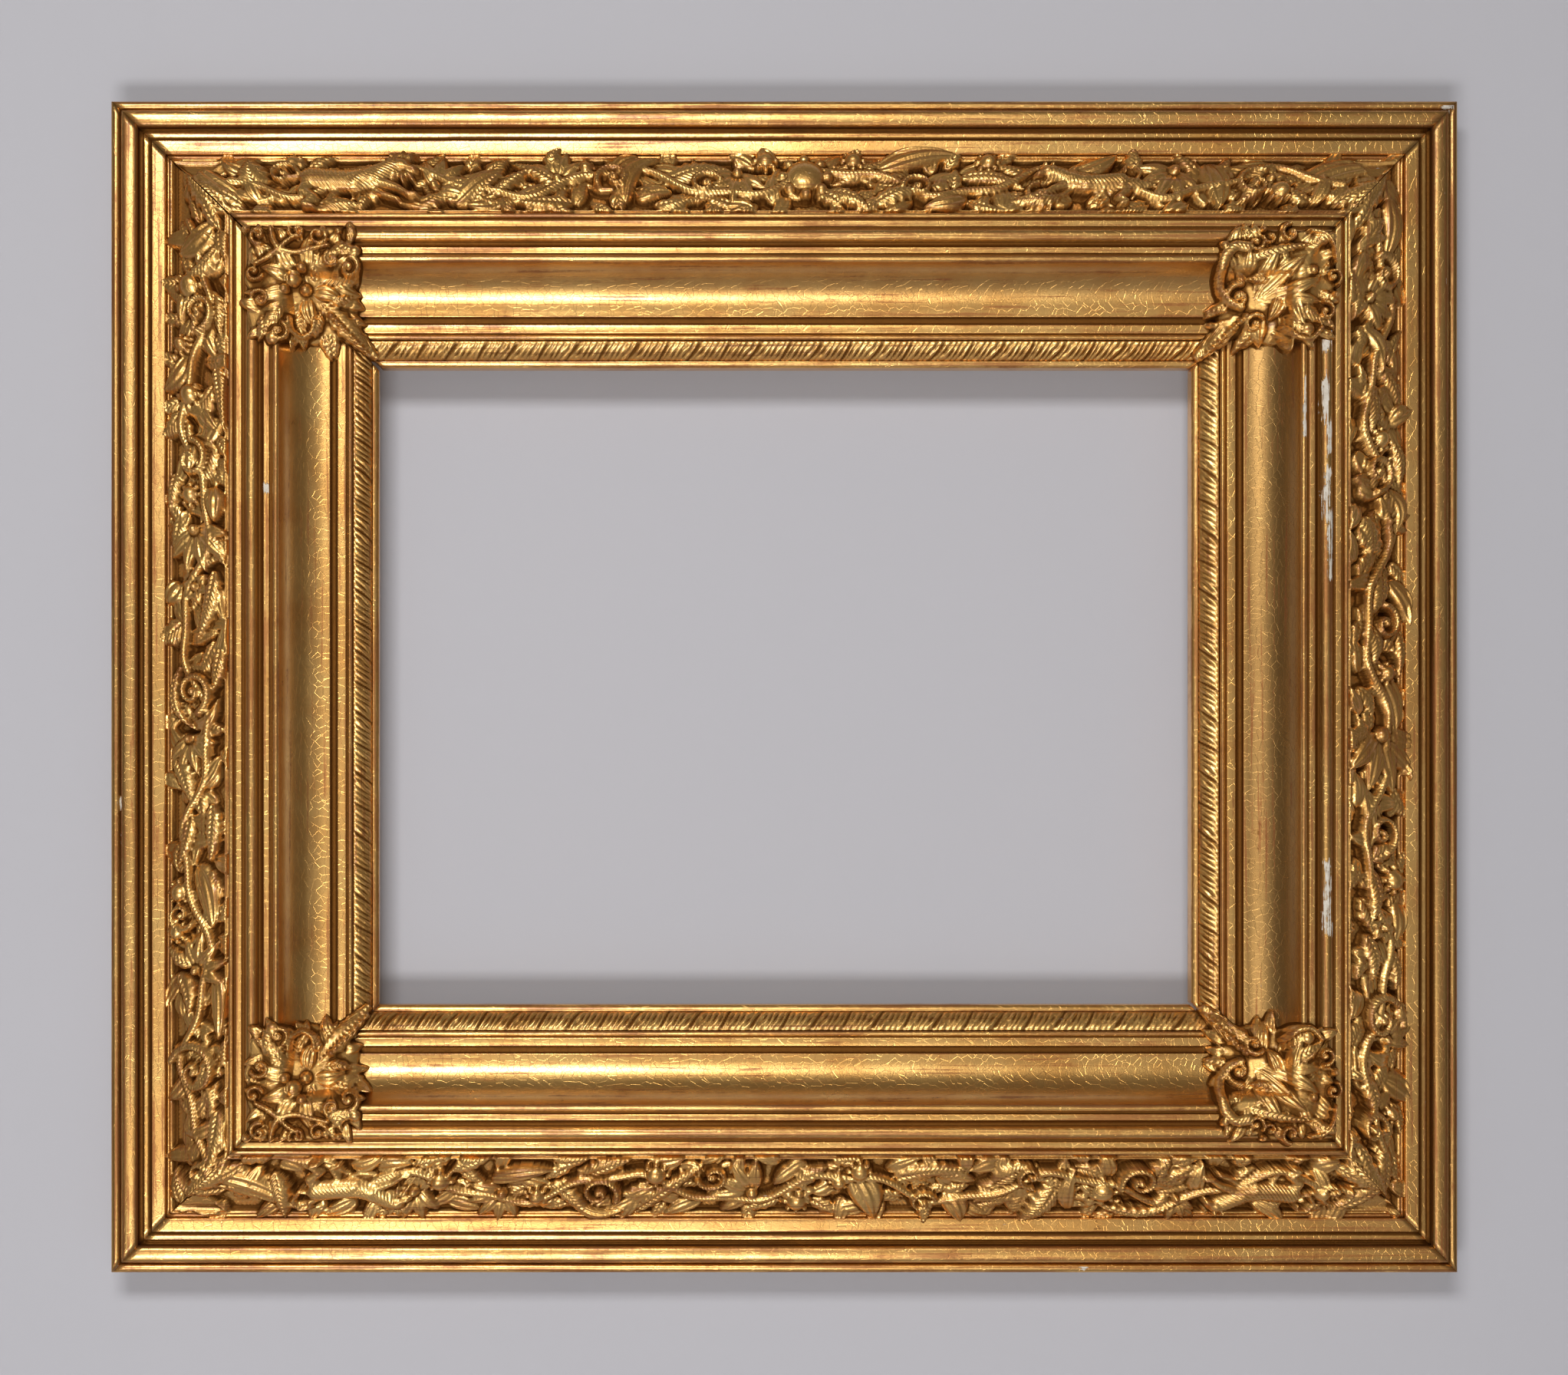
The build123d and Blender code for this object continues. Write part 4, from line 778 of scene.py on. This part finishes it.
def carve_frieze(side, length):
    """The motifs of one rail: small leaves that fill the ground, a waving stem, then the larger
    motifs over them, and a rimmed panel at each mitre of the top and bottom rails."""
    relief = Relief(length - 25, slope_width / 2 + 4.6, frieze_step)
    chance = np.random.default_rng(len(side) * 7 + 3)
    stem_x = np.arange(-length + 62, length - 62, 2.0)
    stem_y = 8.0 * np.sin(stem_x / 17.0) + 2 * np.sin(stem_x / 6.1)
    for x in np.arange(-length + 34, length - 34, 9.0):
        for y in (-11.0, -1.0, 9.0):
            turn = chance.choice([25, 150, 205, 335, 80, 265]) + chance.uniform(-18, 18)
            spot = (x + chance.uniform(-3, 3), y + chance.uniform(-3, 3))
            sizes = [chance.uniform(*span) for span in ((14, 21), (8, 11), (-2.5, 2.5), (3.0, 5.2))]
            relief.leaf(*spot, turn, *sizes, chance.random() < 0.5)
    relief.stem(np.stack([stem_x, stem_y], 1), 2.3, 2.3, 5.2, 0.08)
    for number, (x, y, turn, reach, breadth, bend) in enumerate(frieze_leaves[side]):
        rise = 7.0 + 1.3 * math.sin(number * 2.3)
        relief.leaf(x, y, turn, reach * 1.06, breadth * 1.25, bend, rise, number % 3 == 0)
    for fan in frieze_fans[side]:
        relief.fan(*fan)
    for rosette in frieze_rosettes[side]:
        relief.rosette(*rosette)
    for scroll in frieze_scrolls[side]:
        relief.scroll(*scroll, 7.2)
    for x, y, radius in frieze_balls[side]:
        relief.ball(x, y, radius, 7.0 + 0.15 * radius)
    for beast in frieze_beasts[side]:
        relief.beast(*beast)
    for end in (-1, 1):
        corner, inner = length - 31.5, length - 60.0
        sweep, level = 90 - 48 * end, side in ("top", "bottom")
        relief.leaf(end * inner, -17.0, sweep, 25 if level else 34, 14.0, 4.0 * end, 8.0)
        relief.leaf(end * (inner - 8), -13.0, sweep - 26 * end, 27, 10.0, 3.0 * end, 7.2)
        relief.leaf(end * (inner - 17), -12.0, 90 - 14 * end, 20, 8.5, -2.0 * end, 6.6, True)
        if level:
            x, y = relief.x[:, None], relief.y[None, :]
            panel = np.abs(x - end * (corner - 13)) + 1.15 * np.abs(y - 17.5) < 15.5
            relief.height[panel & (y < 15.4)] = 0.6
            relief.stem([(end * (corner - 1), 15.0), (end * (corner - 27), 15.0)], 0.8, 0.8, 2.6, 0)
            relief.stem([(end * (corner - 27), 15.0), (end * (corner - 15), 4.0)], 0.8, 0.8, 2.6, 0)
    return relief


for side in rails:
    length = rails[side][3]
    relief = carve_frieze(side, length)
    # A fillet runs along both edges, and the sunk ground between the motifs is stippled
    fillet = np.where(np.abs(np.abs(relief.y) - fillet_line) < fillet_half, fillet_rise, 0)
    relief.height = np.maximum(relief.height, fillet[None, :])
    x, y = np.meshgrid(relief.x, relief.y, indexing="ij")
    stipple = 0.30 * np.sin(x * 3.4 + 2 * np.sin(y * 1.1)) * np.sin(y * 3.1 + np.sin(x * 0.9))
    carved = relief.height + 0.45 * stipple
    relief.height = np.where(relief.height < 0.4, ground_depth + stipple, carved)
    relief.blur(0.24)
    recess_field, crest_field = carve_marks(relief.height, frieze_step, frieze_step)
    breadth = np.linspace(slope_width / 2 + overhang, -slope_width / 2, frieze_columns)
    w_flat = frieze_middle[0] - breadth * lean_up
    h_flat = planting + frieze_middle[1] - np.minimum(breadth, slope_width / 2) * lean_in
    share = np.linspace(-1, 1, int(2 * (length - frieze_outer[0]) / frieze_spacing))[:, None]
    flat_along = share * (length - w_flat)
    across = breadth[None, :] + 0 * flat_along
    fields = (relief.height, recess_field, crest_field)
    rise, recess, crest = (relief.at(flat_along, across, field) for field in fields)
    rise = rise * np.clip((slope_width / 2 + breadth) / 0.5, 0, 1)[None, :]
    rise[:, breadth > slope_width / 2 + overhang - 0.6] = -0.9
    inward, forward = w_flat - rise * lean_in, h_flat + rise * lean_up
    along = mitred(side, inward, share)
    outer, inner = (w_flat[0], planting + 0.02), (frieze_inner[0], planting + 0.02)
    # Hollows between the motifs are darkened by the recess mark: dirt and painted shade
    lay_carving(f"carved_frieze_{side}", f"frieze_{side}", side, inward, forward, along,
                recess * 2.0, crest, outer, inner)

# A cartouche covers each mitre of the inner moulding: a shell that opens to the outer corner,
# a beaded boss, C-scrolls and leaf sprays to both sides, and a leaf down the mitre to the sight.

# How far inward each one's middle lies, its grid's step, and the greatest heights of carving and skin
cartouche_middle, cartouche_step, carving_top, cartouche_top = 98.2, 0.42, 43.6, 43.7
cartouche_rays, cartouche_rings = 400, 100
# How high the inner moulding stands at each place inward, and a smooth cover that clears its rim
rim_points = walk_outline(inner_corners)
rim_places = np.arange(60.0, 134.0, 0.25)
rim_heights = np.array([
    rim_points[np.abs(rim_points[:, 0] - place) < 0.3, 1].max(initial=planting) for place in rim_places
])
rim_cover = np.array([rim_heights[np.abs(rim_places - place) < 3.5].max() for place in rim_places])
rim_cover = np.concatenate([rim_cover, rim_cover[::-1]])[:, None]
rim_cover = smooth_round(rim_cover, 8.0)[: len(rim_places), 0]
# Leaves: place towards the outer upright edge, place towards the outer level edge, turn, length,
# width, bend, rise, whether it is fluted
spray_leaves = [
    (3, 5, 62, 20, 8.5, -1.5, 5.2, True), (1, 2, 20, 21, 8.5, 1.5, 5.2, True),
    (-2, 8, 98, 18, 8, -1.5, 5, True), (6, -3, -12, 19, 8, 1.5, 5, True),
    (-6, 10, 132, 19, 8, 2, 5.2, False), (10, -8, -44, 18, 8, -2, 5.2, False),
    (-14, 20, 196, 13, 7.5, 1.5, 5.8, False), (19, -13, -82, 13, 7, -1.5, 5.8, False),
    (-8, 2, 165, 20, 9, 2, 4.4, False), (2, -8, -75, 18, 9, -2, 4.4, False),
    (-14, 4, 205, 15, 7, 1.5, 4.6, True), (4, -15, -110, 14, 7, -1.5, 4.6, True),
    (-6, -6, 225, 42, 11, 0, 5.2, False), (-1, -5, 255, 15, 8, 1.5, 6, True),
    (-5, -1, 193, 15, 8, -1.5, 6, True), (-11, -6, 168, 13, 6.5, 1, 6.4, False),
    (-6, -11, 282, 13, 6.5, -1, 6.4, False),
]
shell_leaves = [
    (-15, 13, 11, 33, 6, 1.5, 6.4, False), (-7, -6, 22, 30, 8.5, -1.5, 5.4, True),
    (-8, -5, 43, 30, 8.5, 0.5, 5.8, True), (-9, -3, 63, 25, 8, 1, 5.2, True),
    (-5, -8, 2, 27, 8, 1.5, 5, True), (16, 19, 20, 14, 8, 1.5, 5.8, False),
    (4, -11, -22, 22, 9, 2, 5.6, False), (2, -12, -52, 18, 8.5, 1.5, 5.4, False),
    (-5, -13, -84, 15, 8, -1.5, 5.2, True), (-11, -14, -112, 14, 7.5, 1.5, 4.8, False),
    (-20, -4, 200, 13, 7, 1.5, 4.6, False), (-12, -12, 225, 38, 9.5, 0, 5.8, False),
    (4, -3, 245, 14, 7.5, 1, 6.6, True), (8, -4, 285, 15, 7, -1, 6.4, True),
    (0, 6, 190, 13, 6.5, 1, 6.6, False),
]
# Scrolls: place, radius, where the spiral starts, its sweep, thickness
spray_scrolls = [
    (22, 25, 4.6, 250, 400, 1.3), (3, 27, 4.2, 20, -400, 1.2), (24, 7, 4.4, 200, 380, 1.3),
    (-22, 9, 5.4, 100, 420, 1.6), (21, -6, 4.8, 30, 400, 1.4), (-7, 25, 4.6, 210, 400, 1.4),
    (-14, 13, 4.2, 60, -380, 1.3), (12, -22, 5, 120, 420, 1.5),
]
shell_scrolls = [
    (7, 26, 4.8, 90, 420, 1.4), (-3, 24, 3.4, 180, 380, 1.1), (-10, 21, 3.8, 0, -400, 1.2),
    (28, 5, 4.2, 300, 400, 1.3), (-9, -17, 5, 40, 420, 1.6), (-17, -4, 6.6, 80, 430, 2.2),
    (24, -12, 4.6, 100, -400, 1.4),
]
# Stems: start and end thickness, then the points they run through
spray_stems = [
    (1.7, 1.2, [(12, 18), (15, 23), (16, 29)]),
    (1.7, 1.2, [(12, 18), (8, 22), (3, 25)]),
    (1.7, 1.3, [(12, 18), (17, 14), (23, 11)]),
    (1.7, 1.3, [(12, 18), (4, 16), (-3, 18), (-12, 20)]),
    (1.6, 1.6, [(-5, -15), (-4, -21), (1, -24), (6, -21), (7, -15)]),
]
shell_stems = [
    (3, 2.2, [(-14, 19), (-20, 20), (-25, 15), (-27, 7), (-25, -1), (-20, -7), (-15, -9)]),
    (1.6, 1.3, [(4, -19), (10, -25), (17, -26), (22, -20)]),
    (1.5, 1, [(17, 27), (24, 26), (28, 20), (29, 12)]),
]
# Bosses: place, radius
spray_balls = [
    (5, 4, 4.2), (-1, -1, 3), (9, -1, 2.6), (1, 9, 2.6), (-25, 17, 3), (15, -25, 3.4), (28, 28, 2.2),
    (-17, 27, 1.8),
]
shell_balls = [
    (27, 24, 2.6), (15, -21, 3.4), (-25, 20, 2.4), (29, -4, 2.2), (-20, -20, 2.6), (18, 8, 2.2),
    (-6, 28, 1.7),
]


def carve_cartouche(leaves, scrolls, stems, balls, wobble):
    """The forms of one cartouche, on a body with rounded corners, with a row of beads down the
    mitre. wobble sets each corner's leaves a little differently."""
    relief = Relief(44, 44, cartouche_step)
    x, y = relief.x[:, None] - 1, relief.y[None, :] - 1
    turned = np.arctan2(y, x)
    ragged = 26.6 + 0.9 * np.sin(7 * turned + wobble) + 0.7 * np.sin(13 * turned + 2 * wobble)
    share = (np.abs(x) ** 4 + np.abs(y) ** 4) ** 0.25 / ragged
    relief.height = np.where(share < 1, 1.0 + 1.8 * np.sqrt(np.clip(1 - share ** 2, 0, 1)), 0.0)
    chance = np.random.default_rng(wobble + 5)
    for x in np.arange(-20.0, 22, 6.5):
        for y in np.arange(-20.0, 22, 6.5):
            spot = (x + chance.uniform(-2, 2), y + chance.uniform(-2, 2))
            away = math.degrees(math.atan2(spot[1] + 8, spot[0] + 8)) + chance.uniform(-35, 35)
            sizes = [chance.uniform(*span) for span in ((8, 13), (5, 7), (-1.5, 1.5), (4.0, 5.6))]
            relief.leaf(*spot, away, *sizes, chance.random() < 0.6)
    for number, (x, y, turn, length, width, bend, rise, fluted) in enumerate(leaves):
        shift = 0.7 * math.sin(number * 1.9 + wobble * 2.1)
        relief.leaf(x + shift, y - shift, turn + 5 * shift, length, width * 1.1, bend, rise + 1.6, fluted)
    for start, end, points in stems:
        points = np.array(points, dtype=float)
        fine = np.linspace(0, len(points) - 1, 9 * len(points))
        smooth = np.stack([np.interp(fine, range(len(points)), points[:, axis]) for axis in (0, 1)], 1)
        for _ in range(14):
            smooth[1:-1] = (smooth[:-2] + 2 * smooth[1:-1] + smooth[2:]) / 4
        relief.stem(smooth, start, end, 7.4, 0.05)
    for scroll in scrolls:
        relief.scroll(*scroll, 7.0)
    for x, y, radius in balls:
        relief.ball(x, y, radius, 6.6 + 0.3 * radius, 0)
    for bead in range(8):
        relief.ball(-13 - 2.4 * bead, -13 - 2.4 * bead, 1.9 - 0.08 * bead, 7.8, 0)
    relief.blur(0.24)
    return relief


for wobble, corner in enumerate(("top_left", "top_right", "bottom_left", "bottom_right")):
    if "left" in corner:
        relief = carve_cartouche(spray_leaves, spray_scrolls, spray_stems, spray_balls, wobble)
    else:
        relief = carve_cartouche(shell_leaves, shell_scrolls, shell_stems, shell_balls, wobble)
    recess_field, crest_field = carve_marks(relief.height, cartouche_step, cartouche_step)
    angle = np.linspace(0, 2 * math.pi, cartouche_rays + 1)[:-1]
    reach = np.linspace(0, 46, 185)
    seen = relief.at(reach[:, None] * np.cos(angle), reach[:, None] * np.sin(angle)) > 0.8
    edge = np.array([reach[seen[:, ray]].max(initial=20.0) for ray in range(cartouche_rays)]) + 0.9
    edge = smooth_round(edge[:, None], 1.0)[:, 0]
    rings = np.linspace(0.004, 1, cartouche_rings) ** 0.85
    rings = np.concatenate([rings, [1.0, 0.9, 0.004]])[:, None]
    x, y = rings * edge * np.cos(angle), rings * edge * np.sin(angle)
    rise = relief.at(x, y)
    inward_x, inward_z = cartouche_middle - x, cartouche_middle - y
    inward = np.minimum(inward_x, inward_z)
    surface = np.interp(inward, rim_places, rim_heights) - planting
    cover = np.interp(inward, rim_places, rim_cover) - planting
    swell = 1 - np.clip(np.maximum(np.abs(x), np.abs(y)) / 31, 0, 1) ** 4
    shell = np.maximum(cover - 0.6, 25.0 + 0.16 * (x + y) + 6.0 * swell)
    room = np.clip((carving_top - shell) / 9.0, 0, 0.95)
    proud = np.minimum(shell + rise * room, cartouche_top)
    forward = planting + np.where(rise > 0.5, np.maximum(proud, surface + 0.25), surface + 0.05)
    forward[-3] = planting + surface[-3] - 0.6
    forward[-2:] = planting + 12.0
    corner_x = -1 if "left" in corner else 1
    corner_z = 1 if "top" in corner else -1
    place_x, place_z = corner_x * (half_width - inward_x), corner_z * (half_height - inward_z)
    points = np.stack([place_x, -forward, place_z], -1)
    index = np.arange(x.size).reshape(x.shape)
    ahead = np.roll(index, -1, axis=1)
    quads = np.stack([index[:-1], index[1:], ahead[1:], ahead[:-1]], -1).reshape(-1, 4)
    faces = quads.tolist() + [index[0].tolist(), index[-1][::-1].tolist()]
    if corner_x * corner_z < 0:
        faces = [face[::-1] for face in faces]
    # The cartouche's hollows are darkened by the recess mark: dirt and painted shade
    marks = {
        "recess": np.clip(relief.at(x, y, recess_field) * 1.5, 0, 1), "crest": relief.at(x, y, crest_field),
        "loss": 0 * x, "side_shade": 0 * x, "run": x * 0.02, "fall": y * mm,
    }
    gilded_skin(f"cartouche_{corner}", points, faces, marks, soft_gilding, f"corner_cartouche_{corner}")

# The frame hangs on a pale wall. Two large soft lamps, above and below, throw the thin shadows
# over and under its edges, a weak even light fills the sides, and a fourth lamp lights the back.


def plane_piece(name, corners, material):
    """A flat piece of the room, in panels of four corners each."""
    mesh = bpy.data.meshes.new(name)
    mesh.from_pydata(corners, [], [range(i, i + 4) for i in range(0, len(corners), 4)])
    piece = bpy.data.objects.new(name, mesh)
    bpy.context.scene.collection.objects.link(piece)
    piece.data.materials.append(material)


wall_finish = Finish("pale_wall")
wall_tint = wall_finish.blend(wall_finish.noise(2.0, 2.0), (0.540, 0.543, 0.592), (0.525, 0.528, 0.577))
wall_shader = wall_finish.node("ShaderNodeBsdfPrincipled", {}, {"Base Color": wall_tint, "Roughness": 0.9})
see_through = wall_finish.node("ShaderNodeBsdfTransparent")
from_behind = wall_finish.node("ShaderNodeNewGeometry", {}, {}, "Backfacing")
wall_mix = wall_finish.node("ShaderNodeMixShader", {}, {0: from_behind, 1: wall_shader, 2: see_through})
wall_finish.node("ShaderNodeOutputMaterial", {}, {"Surface": wall_mix})
# Left, right, foot and top of each panel. The frame hides the gap between them from the front, and
# through the gap the light behind the wall reaches the boards and the fittings on the back.
room_side, room_foot, room_top = 3, -1.3, 2.2
gap_side, gap_top, wall_back = 0.325, 0.281, 0.002
wall_panels = [
    (-room_side, -gap_side, room_foot, room_top), (gap_side, room_side, room_foot, room_top),
    (-gap_side, gap_side, room_foot, -gap_top), (-gap_side, gap_side, gap_top, room_top),
    (-0.215, 0.215, -0.171, 0.171),
]
wall_corners = [
    (x, wall_back, z) for left, right, foot, top in wall_panels
    for x, z in ((left, foot), (right, foot), (right, top), (left, top))
]
plane_piece("wall", wall_corners, wall_finish.material)
floor_finish = Finish("pale_floor")
floor_tint = floor_finish.blend(floor_finish.noise(3.0, 2.0), (0.50, 0.49, 0.51), (0.485, 0.4753, 0.4947))
floor_corners = [(x, y, room_foot) for x, y in ((-3, -4), (3, -4), (3, 3), (-3, 3))]
plane_piece("floor", floor_corners, floor_finish.surface({"Base Color": floor_tint, "Roughness": 0.9}))


def lamp(name, place, size, power, colour=(1.0, 0.985, 0.96)):
    """A flat soft lamp that faces the frame's middle."""
    light = bpy.data.lights.new(name, "AREA")
    light.shape, light.size, light.size_y = "RECTANGLE", size[0], size[1]
    light.energy, light.color = power, colour
    lit = bpy.data.objects.new(name, light)
    lit.location = place
    lit.rotation_euler = (Vector((0, 0, 0)) - lit.location).to_track_quat("-Z", "Y").to_euler()
    bpy.context.scene.collection.objects.link(lit)


lamp("lamp_above", (-0.42, -2.2, 1.02), (0.9, 0.42), 26)
lamp("lamp_below", (-0.36, -2.2, -1.02), (0.9, 0.40), 22.5)
lamp("lamp_front", (-0.10, -3.2, 0.0), (6.6, 1.5), 7.0, (1.0, 0.95, 0.90))
lamp("lamp_behind", (0.5, 2.3, 0.8), (1.6, 1.0), 60.0)
world = bpy.data.worlds.new("soft_room")
bpy.context.scene.world = world
world.use_nodes = True
background = world.node_tree.nodes["Background"].inputs
background["Color"].default_value = (0.70, 0.62, 0.54, 1.0)
background["Strength"].default_value = 0.16
bpy.context.scene.view_settings.view_transform = "Standard"

# The photograph looks straight at the wall from left of and below the frame's middle, and the
# lens is shifted to keep the frame in view.
camera_data = bpy.data.cameras.new("camera")
camera_data.lens, camera_data.sensor_width, camera_data.sensor_fit = 70.5, 36.0, "HORIZONTAL"
camera_data.shift_x, camera_data.shift_y = 0.15, 0.092
camera_data.clip_start = 0.02
camera = bpy.data.objects.new("camera", camera_data)
camera.location = (-0.117, -1.55, -0.072)
camera.rotation_euler = (math.radians(90), 0, 0)
bpy.context.scene.collection.objects.link(camera)
bpy.context.scene.camera = camera
